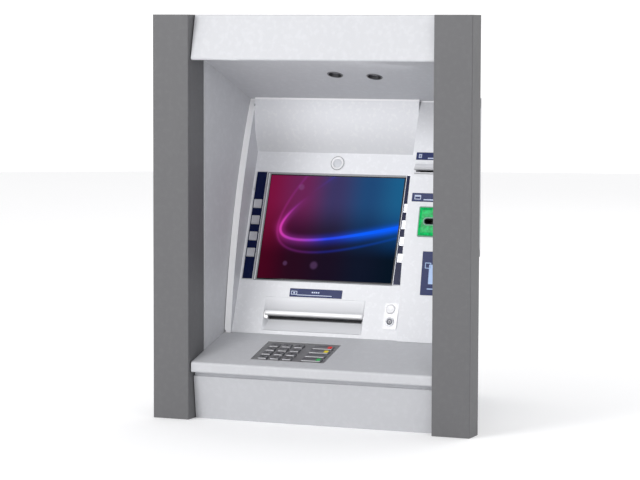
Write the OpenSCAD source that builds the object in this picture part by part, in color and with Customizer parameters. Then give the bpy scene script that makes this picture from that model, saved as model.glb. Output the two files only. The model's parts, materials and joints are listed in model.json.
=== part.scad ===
// Through-the-wall cash machine: surround, customer fascia, safe and service cabinet.
// X runs to the user's right, Y into the wall, Z up. The floor is at Z = 0.

/* [Surround] */
// Width across both pillars
surround_w = 690; // [688:1:694]
// Height of the pillars
surround_h = 830; // [826:1:840]
// Width of a pillar's face
pillar_w = 80; // [78:1:82]
// Depth of a pillar's outer leg, from its face to the wall
wall_y = 50; // [46:1:56]
// Depth of a pillar's inner leg
inner_leg = 75; // [74:0.5:75]
// Thickness of the surround's sheet
sheet = 3; // [2:0.5:4]

/* [Fascia] */
// Lean of the fascia, away from the user
fascia_tilt = 20; // [19.5:0.1:20.2]
// Depth of the fascia's lower edge
fascia_y = 172.5; // [172.5:0.1:173]
// Height of the fascia's lower edge
fascia_z = 163.7; // [163.7:0.1:164]
// Thickness of the fascia's moulding
fascia_t = 4; // [3.5:0.1:4]
// Length of the fascia's flat part, up its slope
fascia_flat = 399.7; // [398:0.1:401]

/* [Keypad] */
// Slope of the shelf's top
shelf_tilt = 15.4; // [15.3:0.1:15.5]
// Pitch of the digit keys across the keypad
key_pitch_x = 27.3; // [26:0.1:28]
// Pitch of the key rows up the shelf
key_pitch_y = 21.5; // [20:0.1:22]
// Travel of a keypad key
key_travel = 2; // [1.5:0.1:2.5]

/* [Softkeys] */
// Pitch of the keys beside the screen
softkey_pitch = 35.9; // [34:0.1:38]
// Height of a key beside the screen
softkey_h = 19.5; // [17:0.5:21]

/* [Safe] */
// Depth of the whole machine, from the pillars' faces to the safe's handle
depth = 600; // [600:1:604]
// Height of the safe
safe_h = 330; // [330:1:331]
// Thickness of the safe's steel
safe_t = 12; // [10:1:12]

/* [Hidden] */
$fn = 48;

half_w = surround_w / 2;
pillar_x = half_w - pillar_w;
gap = 0.3;
far = 1000;

// Wall fixings in the pillars' flanges
flange_w = 30;
wall_hole_r = 4.5;
wall_hole_x = half_w - 17;
wall_hole_low = 100;
wall_hole_high = surround_h - 100;

// Header, ceiling and recess
header_low = 737.6;
header_low_y = 7.6;
header_top_y = 28.6;
recess_y = 75.3;
recess_back = 302;
ceiling_z = 738;
ceiling_tilt = 21;
liner_t = 2.5;
liner_low = 100;
liner_left_front = -263.5;
liner_left_back = -258;
liner_right_front = 258.5;
liner_right_back = 254.5;
light_r = 16.7;
light_x = [-4, 79];
light_up = [82, 92];

// Profile of the side column and the left trim, an arc in the YZ plane
frame_cy = 1781;
frame_cz = -10.7;
frame_r = 1623.5;
frame_low = 162.6;
frame_high = 650.5;
trim_left = -257.6;
fascia_left = -245.3;
fascia_right = 128.7;
column_left = 129;
column_right = 254.2;

// Belly of the fascia above its flat part, an arc in the YZ plane
belly_r = 236;
belly_top = 652;

// Camera, audio socket and volume button, by X and height up the fascia's slope
camera_x = -57.7;
camera_s = 377.1;
camera_r = 16.5;
jack_x = 106.4;
jack_s = 38.3;
jack_r = 9.3;
jack_bore_r = 1.8;
button_x = 104.7;
button_s = 65.4;
button_r = 9.8;

// Screen
screen_left = -209.7;
screen_right = 101.3;
screen_low = 116.7;
screen_high = 351.6;
strip_high = 354.6;
strip_w = 24.5;
strip_left = -240;
strip_right = 101.6;
softkey_w = 18.3;
softkey_first = 175;
softkey_inset = 2.9;

// Cash slot, up the fascia's slope
cash_left = -178.5;
cash_right = 45.5;
cash_low = 8.4;
cash_high = 80;
slot_low = 35.5;
slot_high = 42.5;

// Keypad, in the shelf's own plane
shelf_nose_y = 13.5;
shelf_nose_z = 120;
shelf_back = 172.3;
pad_left = -144;
pad_right = 18.2;
pad_front = 27.5;
pad_back = 127.5;
key_sink = 6.8;
pad_floor = 1;
pad_t = pad_floor + key_travel + key_sink + 1.2;
digit_x = -120.6;
digit_w = 20;
function_x = -12.5;
function_w = 43;
key_depth = 16;
key_y = 39.5;

// Labels on the fascia and the side column
cash_label_left = -125.8;
cash_label_right = -7.5;
receipt_label_z = 540;
card_label_z = 456.5;
info_label_z = 303.6;
label_right = 247.5;

// Card reader and receipt printer in the side column
card_z = 407.4;
card_h = 60.7;
card_left = 157.5;
card_right = 250;
card_slot_left = 178;
card_slot_right = 238;
card_slot_h = 5;
receipt_z = 509;
receipt_left = 137.5;
receipt_right = 247.5;
receipt_slot_left = 150;
receipt_slot_right = 232;
receipt_slot_h = 5;
roll_y = 311;
roll_z = 560;
roll_r = 35;
printer_left = 143;
printer_right = 236;
spindle_r = 6;

// Safe
safe_left = -200;
safe_right = 150;
safe_front = 275;
safe_back = 565;
door_y = safe_back + 0.5;
door_t = 16;
handle_x = 95;
handle_z = 165;
shaft_r = 5;
bolt_r = 8;
bolt_y = 553;
bolt_z = [225, 285];
guide_x = 76;
guide_w = 16;
yoke_x = 50;
bolt_end = 132;
anchor_r = 7;
anchor_x = 153;
anchor_y = [320, 530];
hinge_x = -207;
hinge_y = 573.5;
hinge_pin_r = 3;
hinge_r = 6;
hinge_low = [40, 230];
knuckle = 30;
running = 0.06;

// Cassette
cassette_left = -70;
cassette_w = 190;
cassette_low = 22;
cassette_h = 160;
cassette_front = 300;
cassette_back = 538;
grip_inset = 27;
grip_room = 10;
grip_t = 8;
grip_h = 14;
grip_z = 135;

// Service cabinet
cabinet_left = -240;
cabinet_right = 195;
cabinet_wide = 240;
cabinet_step = 352;
cabinet_back = 465;
cabinet_low = safe_h;
cabinet_high = 790;
cabinet_t = 3;
panel_y = cabinet_back + 0.5;
panel_t = 3;
cab_hinge_x = -247;
cab_hinge_y = 469;
cab_pin_r = 2;
cab_knuckle_r = 4.5;
cab_hinge_low = [400, 680];
latch_x = 172;
latch_z = 560;
latch_r = 8;
catch_x = 182;
catch_back = 7;
flange_left = -260.5;
flange_right = 257;
flange_top = 660;
entry_x = 120;
entry_y = 430;
entry_r = 10;
louvre_x = [-140, -10];
louvre_w = 90;
louvre_h = 5;
louvre_z = [380:14:500];

// ---- Outline helpers ----

function arc(cx, cy, r, a0, a1, n = 6) =
  [for (i = [0:n]) [cx + r * cos(a0 + (a1 - a0) * i / n), cy + r * sin(a0 + (a1 - a0) * i / n)]];

function round_rect(x0, y0, x1, y1, r, n = 5) = concat(
  arc(x1 - r, y1 - r, r, 0, 90, n), arc(x0 + r, y1 - r, r, 90, 180, n),
  arc(x0 + r, y0 + r, r, 180, 270, n), arc(x1 - r, y0 + r, r, 270, 360, n));

// Depth of the column's face at height z, set back by t
function frame_y(z, t = 0) = frame_cy - sqrt(pow(frame_r - t, 2) - pow(z - frame_cz, 2));
function frame_curve(z0, z1, t = 0, n = 20) =
  [for (i = [0:n]) let (z = z0 + (z1 - z0) * i / n) [frame_y(z, t), z]];

// A point on the fascia's slope: s up it, y behind it
function slope(s, y = 0) = [
  fascia_y + s * sin(fascia_tilt) + y * cos(fascia_tilt),
  fascia_z + s * cos(fascia_tilt) - y * sin(fascia_tilt)];

belly_low = slope(fascia_flat);
cabinet_front = slope(fascia_flat, fascia_t)[0] + 1;
belly_a = 156.5;
belly_cy = belly_low[0] - belly_r * cos(belly_a);
belly_cz = belly_low[1] + belly_r * sin(belly_a);
function belly_y(z, t = 0) = belly_cy - sqrt(pow(belly_r - t, 2) - pow(z - belly_cz, 2));
function belly_curve(z0, z1, t = 0, n = 14) =
  [for (i = [0:n]) let (z = z0 + (z1 - z0) * i / n) [belly_y(z, t), z]];

function ceiling(y, t = 0) = ceiling_z + t - (y - recess_y) * tan(ceiling_tilt);

function inner_left(y) = liner_left_front
  + (y - recess_y) * (liner_left_back - liner_left_front) / (recess_back - recess_y);
function inner_right(y) = liner_right_front
  + (y - recess_y) * (liner_right_back - liner_right_front) / (recess_back - recess_y);

// ---- Placing helpers ----

// The pillars' faces are put half the depth in front of the origin
module placed() translate([0, -depth / 2, 0]) children();

// A profile drawn as [Y, Z] and extruded from x0 to x1
module side_profile(x0, x1, points)
  translate([x0, 0, 0]) rotate([90, 0, 90]) linear_extrude(x1 - x0) polygon(points);

// A plan drawn as [X, Y] and extruded from z0 to z1
module plan(z0, z1, points) translate([0, 0, z0]) linear_extrude(z1 - z0) polygon(points);

module block(a, b) translate(a) cube(b - a);

// Children are drawn with Z up the fascia's slope and Y behind it
module on_fascia() translate([0, fascia_y, fascia_z]) rotate([-fascia_tilt, 0, 0]) children();

// Children are drawn with Y up the shelf and Z out of it
module on_shelf() translate([0, shelf_nose_y, shelf_nose_z]) rotate([shelf_tilt, 0, 0]) children();

// Children are drawn with Z up the column's face at height z and Y behind it
module on_column(z)
  translate([0, frame_y(z), z]) rotate([-asin((z - frame_cz) / frame_r), 0, 0]) children();

module along_y(x, y, z, r, h) translate([x, y, z]) rotate([-90, 0, 0]) cylinder(r = r, h = h);
module along_x(x, y, z, r, h) translate([x, y, z]) rotate([0, 90, 0]) cylinder(r = r, h = h);

// A slab facing the user with rounded corners, from y0 to y1 deep
module face_slab(x0, z0, x1, z1, y0, y1, r)
  translate([0, y1, 0]) rotate([90, 0, 0]) linear_extrude(y1 - y0)
    polygon(round_rect(x0, z0, x1, z1, r));

// ---- Surround ----

module pillar() {
  difference() {
    union() {
      plan(0, surround_h, concat(
        [[half_w, wall_y], [half_w - sheet, wall_y], [half_w - sheet, sheet],
         [pillar_x + sheet, sheet], [pillar_x + sheet, inner_leg], [pillar_x, inner_leg]],
        arc(pillar_x + 2, 2, 2, 180, 270), arc(half_w - 2, 2, 2, 270, 360)));
      block([half_w - flange_w, wall_y - sheet, 0], [half_w - sheet, wall_y, surround_h]);
      for (z = [0, surround_h - sheet])
        block([pillar_x + sheet, sheet, z], [half_w - sheet, wall_y, z + sheet]);
    }
    for (z = [wall_hole_low, wall_hole_high]) along_y(wall_hole_x, 30, z, wall_hole_r, 40);
  }
}

module left_pillar() color("gray") placed() mirror([1, 0, 0]) pillar();

module right_pillar() color("gray") placed() pillar();

module header_panel() {
  edge = pillar_x - 2;
  lean = atan((header_top_y - header_low_y) / (surround_h - header_low));
  color("whitesmoke") placed() difference() {
    side_profile(-edge, edge, concat(
      arc(header_top_y + 2, surround_h - 3, 3, 180 - lean, 90),
      [[inner_leg, surround_h], [inner_leg, header_low]],
      arc(header_low_y + 5, header_low + 5, 5, 270, 180 - lean)));
    side_profile(-edge - 1, edge + 1, [
      [header_top_y + 3, surround_h - sheet], [inner_leg - sheet, surround_h - sheet],
      [inner_leg - sheet, header_low + sheet], [header_low_y + 6, header_low + sheet]]);
  }
}

module recess_liner() {
  inner = [[liner_left_front, recess_y], [liner_right_front, recess_y],
           [liner_right_back, recess_back], [liner_left_back, recess_back]];
  outer = [[liner_left_front - liner_t, recess_y], [liner_right_front + liner_t, recess_y],
           [liner_right_back + liner_t, recess_back], [liner_left_back - liner_t, recess_back]];
  color("darkgray") placed() difference() {
    union() {
      intersection() {
        difference() {
          plan(liner_low, surround_h, outer);
          translate([0, -1, 0]) plan(liner_low - 1, surround_h + 1, inner);
          translate([0, 1, 0]) plan(liner_low - 1, surround_h + 1, inner);
        }
        side_profile(-far, far, [
          [recess_y, liner_low], [recess_back, liner_low],
          [recess_back, ceiling(recess_back, liner_t)], [recess_y, ceiling(recess_y, liner_t)]]);
      }
      intersection() {
        plan(liner_low, surround_h, outer);
        side_profile(-far, far, [
          [recess_y, ceiling(recess_y)], [recess_back, ceiling(recess_back)],
          [recess_back, ceiling(recess_back, liner_t)], [recess_y, ceiling(recess_y, liner_t)]]);
      }
      block([liner_right_front, recess_y, liner_low], [pillar_x - gap, recess_y + 2, ceiling_z]);
      // Tabs that reach back to the service cabinet's flanges
      for (x = [liner_left_back - liner_t, liner_right_back])
        block([x, recess_back - 1, 345], [x + liner_t, cabinet_front - gap, 640]);
    }
    translate([0, recess_y, ceiling_z]) rotate([-ceiling_tilt, 0, 0])
      for (i = [0, 1]) translate([light_x[i], light_up[i], -5]) cylinder(r = light_r - 1.7, h = 12);
  }
}

module downlights() {
  color("dimgray") placed() translate([0, recess_y, ceiling_z]) rotate([-ceiling_tilt, 0, 0])
    for (i = [0, 1]) translate([light_x[i], light_up[i], 0]) {
      difference() {
        union() {
          translate([0, 0, -1.5]) cylinder(r = light_r, h = 1.5);
          cylinder(r = light_r - 2, h = 14);
        }
        translate([0, 0, -2]) cylinder(r = light_r - 3, h = 4);
      }
    }
}

// ---- Fascia ----

module main_fascia() {
  color("gainsboro") placed() difference() {
    union() {
      side_profile(fascia_left, fascia_right, concat(
        [slope(0, fascia_t), slope(0)], belly_curve(belly_low[1], belly_top),
        belly_curve(belly_top, belly_low[1], fascia_t)));
      side_profile(trim_left, fascia_left, concat(
        [slope(0, fascia_t), [fascia_y + 0.1, fascia_z + 0.5]], frame_curve(frame_low, frame_high),
        [[recess_back - 0.4, frame_high], slope(fascia_flat, fascia_t)]));
    }
    on_fascia() {
      block([screen_left - gap, -9, screen_low - gap], [strip_right, 9, screen_high + gap]);
      for (x = [strip_left, strip_right])
        block([x - gap, -9, screen_low - gap], [x + strip_w + gap, 9, strip_high + gap]);
      block([cash_left - gap, -9, cash_low - gap], [cash_right + gap, 9, cash_high + gap]);
      along_y(camera_x, -9, camera_s, camera_r - 3.5, 18);
      along_y(button_x, -9, button_s, button_r + 0.5, 18);
      along_y(jack_x, -9, jack_s, jack_r - 3, 18);
    }
  }
}

module side_column() {
  color("gainsboro") placed() difference() {
    union() {
      side_profile(column_left, column_right, concat(
        frame_curve(frame_low, frame_high), frame_curve(frame_high, frame_low + 1.4, fascia_t)));
      side_profile(column_left, column_left + 3, concat(
        [slope(0, fascia_t), [fascia_y + 0.1, fascia_z + 0.5]], frame_curve(frame_low, frame_high),
        [[recess_back - 0.4, frame_high], slope(fascia_flat, fascia_t)]));
    }
    block([162 - gap, 150, card_z - 25.5 - gap], [246 + gap, 290, card_z + 25.5 + gap]);
    block([146 - gap, 150, receipt_z - 4.5 - gap], [240 + gap, 290, receipt_z + 4.5 + gap]);
  }
}

module display_glass() {
  color("midnightblue") placed() on_fascia()
    block([screen_left, 0.8, screen_low], [screen_right, fascia_t, screen_high]);
}

module lcd_monitor() {
  color("silver") placed() on_fascia() difference() {
    block([screen_left + 1, fascia_t + gap, screen_low], [screen_right - 0.3, 32, screen_high]);
    for (x = [-150:30:30]) block([x, 26, 170], [x + 18, 33, 300]);
  }
}

module softkey_strips() {
  color("navy") placed() on_fascia() for (x = [strip_left, strip_right]) difference() {
    face_slab(x, screen_low, x + strip_w, strip_high, -0.8, 9, 0.8);
    for (i = [0:3]) translate([x + softkey_inset, 0, softkey_first + i * softkey_pitch])
      block([-gap, -2, -softkey_h / 2 - gap], [softkey_w + gap, 7, softkey_h / 2 + gap]);
  }
}

// Keys beside the screen, numbered from the bottom
module softkey(x, i) {
  color("silver") placed() on_fascia()
    translate([x + softkey_inset, 0, softkey_first + (i - 1) * softkey_pitch])
      face_slab(0, -softkey_h / 2, softkey_w, softkey_h / 2, -2.6, 4, 1.2);
}

module softkey_l1() softkey(strip_left, 1);
module softkey_l2() softkey(strip_left, 2);
module softkey_l3() softkey(strip_left, 3);
module softkey_l4() softkey(strip_left, 4);
module softkey_r1() softkey(strip_right, 1);
module softkey_r2() softkey(strip_right, 2);
module softkey_r3() softkey(strip_right, 3);
module softkey_r4() softkey(strip_right, 4);

module camera_window() {
  color("white") placed() on_fascia() {
    difference() {
      union() {
        along_y(camera_x, -2, camera_s, camera_r, 2);
        along_y(camera_x, 0, camera_s, camera_r - 3.8, 24);
      }
      along_y(camera_x, -3, camera_s, 9, 3.2);
    }
  }
}

module cash_bezel() {
  cheek = 4;
  // Profiles are [depth behind the face, height up the slope]
  upper = [[0, cash_high], [0.8, 71], [2.6, 61], [5.2, 52], [-3.5, 51], [-5, 49.5], [-5, 44],
           [-3.5, slot_high], [19, slot_high], [19, 46], [9, 48], [6.5, 60], [4, cash_high]];
  lower = [[0, cash_low], [6, 17], [11, 27], [14, slot_low], [19, slot_low], [19, 31],
           [15, 24], [10, 13.5], [5, cash_low]];
  color("gainsboro") placed() on_fascia() {
    for (p = [upper, lower]) side_profile(cash_left + cheek, cash_right - cheek, p);
    for (x = [cash_left, cash_right - cheek])
      side_profile(x, x + cheek, [[0, cash_low], [0, cash_high], [4, cash_high], [19, 46],
                                  [19, 31], [5, cash_low]]);
  }
}

module cash_shutter() {
  color("dimgray") placed() on_fascia()
    block([cash_left + 2, 19 + gap, slot_low - 2], [cash_right - 2, 21.5, slot_high + 2]);
}

module label_plates() {
  color("midnightblue") placed() {
    on_fascia() face_slab(cash_label_left, 82.5, cash_label_right, 100.7, -1, 0, 1);
    on_column(receipt_label_z) face_slab(137.3, -8, label_right, 8, -1, 0, 1);
    on_column(card_label_z) face_slab(138.3, -9, label_right, 9, -1, 0, 1);
    on_column(info_label_z) face_slab(173.8, -45, label_right, 45, -1, 0, 1.5);
  }
}

module audio_plate() {
  color("gainsboro") placed() on_fascia() difference() {
    union() {
      face_slab(jack_x - 15, 22, jack_x + 15.9, 78.5, -2, 0, 3);
      along_y(jack_x, -3.2, jack_s, jack_r, 3.2);
      along_y(jack_x, 0, jack_s, jack_r - 3.3, 16);
    }
    along_y(jack_x, -4, jack_s, jack_bore_r, 18);
    along_y(button_x, -4, button_s, button_r + gap, 5);
  }
}

module volume_button() {
  color("white") placed() on_fascia() along_y(button_x, -4.5, button_s, button_r, 8);
}

// ---- Side column units ----

module receipt_lip() {
  z = receipt_z;
  color("silver") placed() difference() {
    union() {
      side_profile(receipt_left, receipt_right, [
        [frame_y(z + 15), z + 15], [frame_y(z + 6) - 6, z + 6], [frame_y(z + 4) - 8, z + 4.5],
        [frame_y(z + 2.5) - 8, z + 2.5], [frame_y(z - 2.5) - 4, z - 2.5],
        [frame_y(z - 5) - 3.5, z - 4.5], [frame_y(z - 6), z - 6]]);
      side_profile(146, 240, [
        [frame_y(z + 4.5) - 1, z + 4.5], [frame_y(z + 4.5, fascia_t) + 4, z + 4.5],
        [frame_y(z + 4.5, fascia_t) + 4, z - 4.5], [frame_y(z - 4.5) - 1, z - 4.5]]);
    }
    block([receipt_slot_left, 200, z - receipt_slot_h / 2],
          [receipt_slot_right, 300, z + receipt_slot_h / 2]);
  }
}

module receipt_printer() {
  front = 262;
  back = cabinet_step - 6;
  top = 520;
  arm = 3.5;
  color("dimgray") placed() difference() {
    union() {
      block([printer_left, front, 488], [printer_right, back, top]);
      for (x = [printer_left, printer_right - arm])
        side_profile(x, x + arm, [[290, top], [back, top], [roll_y + 13, roll_z - 8],
                                  [roll_y + 13, roll_z + 12], [roll_y - 13, roll_z + 12],
                                  [roll_y - 13, roll_z - 8]]);
      along_x(printer_left, roll_y, roll_z, spindle_r, printer_right - printer_left);
    }
    block([receipt_slot_left, front - 1, receipt_z - receipt_slot_h / 2],
          [receipt_slot_right, 300, receipt_z + receipt_slot_h / 2]);
    block([receipt_slot_left, 292, receipt_z], [receipt_slot_right, 300, top + 1]);
  }
}

module paper_roll() {
  color("white") placed() difference() {
    along_x(149.5, roll_y, roll_z, roll_r, 80);
    along_x(149, roll_y, roll_z, spindle_r + running, 81);
  }
}

module card_bezel() {
  low = card_z - card_h / 2;
  high = card_z + card_h / 2;
  mid = card_slot_h / 2;
  color("springgreen") placed() difference() {
    union() {
      side_profile(card_left, card_right, concat(
        [[frame_y(low), low]], arc(frame_y(low) - 3, low + 4, 4, 270, 180, 4),
        frame_curve(low + 8, high - 8, -7.5, 6),
        arc(frame_y(high) - 3, high - 4, 4, 180, 90, 4), [[frame_y(high), high]],
        frame_curve(high - 0.5, low + 0.5, 0, 6)));
      side_profile(162, 246, concat(
        frame_curve(card_z - 25.5, card_z + 25.5, 0, 6),
        [[224, card_z + 25.5], [224, card_z - 25.5]]));
    }
    block([card_slot_left, 150, card_z - mid], [card_slot_right, 290, card_z + mid]);
    side_profile(card_slot_left, card_slot_right, [
      [180, card_z - mid - 12], [213, card_z - mid], [213, card_z + mid], [180, card_z + mid + 12]]);
  }
}

module card_shutter() {
  color("dimgray") placed() block([175, 224.4, card_z - 5], [241, 226.6, card_z + 5]);
}

module card_reader() {
  mid = card_slot_h / 2;
  color("dimgray") placed() difference() {
    union() {
      block([166, 227, card_z - 22], [241, 304, card_z + 22]);
      block([180, 270, card_z - 30], [232, 298, card_z - 22]);
    }
    block([card_slot_left, 226, card_z - mid], [card_slot_right, 298, card_z + mid]);
    block([190, 240, card_z + 14], [226, 290, card_z + 23]);
  }
}

// ---- Shelf, kick panel and keypad ----

module shelf() {
  back_z = shelf_nose_z + (shelf_back - shelf_nose_y) * tan(shelf_tilt);
  edge = pillar_x - 2.1;
  color("lightgray") placed() difference() {
    intersection() {
      side_profile(-far, far, concat(
        [[shelf_back, back_z]], arc(shelf_nose_y, shelf_nose_z - 6, 6, 90, 180),
        arc(11.5, 101.4, 4, 180, 270, 4),
        [[30, 97.4], [30, 119.3], [shelf_back, back_z - 5.2]]));
      plan(0, 200, [[-edge, 0], [edge, 0], [edge, inner_leg], [inner_right(recess_y) - gap, inner_leg],
                    [inner_right(shelf_back) - gap, shelf_back],
                    [inner_left(shelf_back) + gap, shelf_back],
                    [inner_left(recess_y) + gap, inner_leg], [-edge, inner_leg]]);
    }
    on_shelf() block([pad_left - gap, pad_front - gap, -20], [pad_right + gap, pad_back + gap, 20]);
  }
}

module kick_panel() {
  edge = pillar_x - 2.1;
  color("lightgray") placed() side_profile(-edge, edge, [
    [60, 0], [60, 3], [35, 3], [24.2, 86.4], [60, 86.4], [60, 89.4],
    [22.6, 89.4], [20.8, 87.6], [32, 0]]);
}

module keypad_frame() {
  color("dimgray") placed() on_shelf() {
    difference() {
      block([pad_left, pad_front, -pad_t - 1], [pad_right, pad_back, -1]);
      for (r = [0:3]) {
        for (c = [0:2]) key_hole(digit_x + c * key_pitch_x, key_y + r * key_pitch_y, digit_w);
        key_hole(function_x, key_y + r * key_pitch_y, function_w);
      }
    }
    block([-134, 35, -40], [8, 120, -pad_t - 1]);
  }
}

module key_hole(x, y, w) {
  block([x - w / 2 - gap, y - key_depth / 2 - gap, pad_floor - pad_t],
        [x + w / 2 + gap, y + key_depth / 2 + gap, 1]);
}

// One keypad key, tapered slightly to its dished top
module key_cap(x, row, w) {
  color("silver") placed() on_shelf() translate([x, key_y + row * key_pitch_y, -key_sink]) difference() {
    translate([-w / 2, 0, 0]) rotate([90, 0, 90]) linear_extrude(w)
      polygon([[-key_depth / 2, 0], [key_depth / 2, 0], [key_depth / 2, 7.4],
               [key_depth / 2 - 1.2, 9], [-key_depth / 2 + 1.2, 9], [-key_depth / 2, 7.4]]);
    for (s = [-1, 1]) translate([s * w / 2, 0, 9]) rotate([0, 45, 0])
      cube([1.4, key_depth + 2, 1.4], center = true);
  }
}

// Digit keys: column 0 is on the left, row 0 is nearest the user
module digit_key(col, row) key_cap(digit_x + col * key_pitch_x, row, digit_w);
module function_key(row) key_cap(function_x, row, function_w);

module key_1() digit_key(0, 3);
module key_2() digit_key(1, 3);
module key_3() digit_key(2, 3);
module key_4() digit_key(0, 2);
module key_5() digit_key(1, 2);
module key_6() digit_key(2, 2);
module key_7() digit_key(0, 1);
module key_8() digit_key(1, 1);
module key_9() digit_key(2, 1);
module key_star() digit_key(0, 0);
module key_0() digit_key(1, 0);
module key_hash() digit_key(2, 0);
module key_cancel() function_key(3);
module key_clear() function_key(2);
module key_blank() function_key(1);
module key_enter() function_key(0);

// ---- Safe ----

module safe_body() {
  mid_x = (safe_left + safe_right) / 2;
  color("slategray") placed() difference() {
    union() {
      block([safe_left, safe_front, 0], [safe_right, safe_back, safe_h]);
      block([safe_left, 60, 0], [safe_right, safe_front, 6]);
      for (z = hinge_low) {
        translate([hinge_x, hinge_y, z]) cylinder(r = hinge_r, h = knuckle);
        block([hinge_x - 4, 545, z], [safe_left - 1, hinge_y, z + knuckle]);
        block([hinge_x - 4, 530, z], [safe_left, 550, z + knuckle]);
      }
    }
    difference() {
      block([safe_left + safe_t, safe_front + safe_t, safe_t],
            [safe_right - safe_t, safe_back + 1, safe_h - safe_t]);
      for (x = [cassette_left, cassette_left + cassette_w - 12])
        block([x, 295, safe_t - 1], [x + 12, 558, cassette_low - gap]);
    }
    block([-162, safe_front - 1, 174], [29, safe_front + safe_t + 1, 218]);
    for (x = [-1, 1], y = anchor_y)
      translate([mid_x + x * anchor_x, y, -1]) cylinder(r = anchor_r, h = safe_t + 2);
    for (z = bolt_z) along_x(safe_right - safe_t - 1, bolt_y, z, bolt_r + 0.2, 11);
    for (z = hinge_low) translate([hinge_x, hinge_y, z - 1]) cylinder(r = hinge_pin_r, h = knuckle + 2);
  }
}

module safe_door() {
  color("slategray") placed() difference() {
    union() {
      block([safe_left, door_y, 3], [safe_right, door_y + door_t, safe_h - 3]);
      block([guide_x, bolt_y - bolt_r - 2, bolt_z[0] - bolt_r - 9],
            [guide_x + guide_w, door_y, bolt_z[1] + bolt_r + 9]);
      for (z = hinge_low) translate([0, 0, z + knuckle + gap]) {
        translate([hinge_x, hinge_y, 0]) cylinder(r = hinge_r, h = knuckle);
        block([hinge_x, hinge_y, 0], [safe_left + 1, hinge_y + 6, knuckle]);
      }
    }
    for (z = hinge_low) translate([hinge_x, hinge_y, z + knuckle])
      cylinder(r = hinge_pin_r + running, h = knuckle + 2);
    for (z = bolt_z) along_x(guide_x - 1, bolt_y, z, bolt_r + running, guide_w + 2);
    along_y(handle_x, door_y - 1, handle_z, shaft_r + running, door_t + 2);
  }
}

module safe_handle() {
  hub_y = door_y + door_t + gap;
  color("black") placed() {
    along_y(handle_x, door_y - 3, handle_z, shaft_r, door_t + 6);
    difference() {
      union() {
        along_y(handle_x, hub_y, handle_z, 16, depth - hub_y - 6);
        translate([0, depth, 0]) rotate([90, 0, 0]) linear_extrude(9)
          polygon(concat(arc(handle_x, handle_z, 13, -70, 70, 8),
                         arc(handle_x - 95, handle_z, 8, 110, 250, 8)));
      }
      along_y(handle_x, depth - 3, handle_z, 5, 4);
    }
  }
}

module lock_bolts() {
  color("silver") placed() {
    for (z = bolt_z) along_x(yoke_x + 6, bolt_y, z, bolt_r, bolt_end - yoke_x - 6);
    block([yoke_x, bolt_y - 8, bolt_z[0] - 12], [yoke_x + 8, bolt_y + 8, bolt_z[1] + 12]);
  }
}

module hinge_pins() {
  color("silver") placed() {
    for (z = hinge_low) translate([hinge_x, hinge_y, z - 2]) {
      translate([0, 0, 2]) cylinder(r = hinge_pin_r, h = 2 * knuckle + 1);
      cylinder(r = hinge_r - 1, h = 2);
    }
    for (z = cab_hinge_low) translate([cab_hinge_x, cab_hinge_y, z - 2]) {
      translate([0, 0, 2]) cylinder(r = cab_pin_r, h = 41);
      cylinder(r = cab_knuckle_r - 1, h = 2);
    }
  }
}

module note_cassette() {
  wall = 4;
  right = cassette_left + cassette_w;
  top = cassette_low + cassette_h;
  grip_left = cassette_left + grip_inset;
  grip_right = right - grip_inset;
  color("darkolivegreen") placed() {
    difference() {
      block([cassette_left, cassette_front, cassette_low], [right, cassette_back, top]);
      block([cassette_left + wall, cassette_front - 1, cassette_low + wall],
            [right - wall, cassette_back - wall, top - wall]);
    }
    // Handle, with room for fingers between it and the box
    for (x = [grip_left, grip_right - grip_t])
      block([x, cassette_back - 1, grip_z], [x + grip_t, cassette_back + grip_room, grip_z + grip_h]);
    block([grip_left, cassette_back + grip_room, grip_z],
          [grip_right, cassette_back + grip_room + grip_t, grip_z + grip_h]);
  }
}

module note_dispenser() {
  wall = 4;
  left = -158;
  right = 25;
  shaft = 4;
  roller = 11;
  color("gray") placed() {
    // Presenter, from the cash slot into the safe
    difference() {
      block([left, 213, 178], [right, 300, 214]);
      block([left + wall, 212, 182], [right - wall, 301, 208]);
    }
    // Stacker frame above the cassette
    for (x = [left, right - wall]) block([x, 300, 192], [x + wall, 538, 305]);
    block([left + wall, 300, 301], [right - wall, 538, 305]);
    for (y = [330:50:530], z = [215, 260]) {
      along_x(left + wall, y, z, shaft, right - left - 2 * wall);
      for (x = [-130, -75, -20]) along_x(x, y, z, roller, 16);
    }
  }
}

// ---- Service cabinet ----

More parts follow.
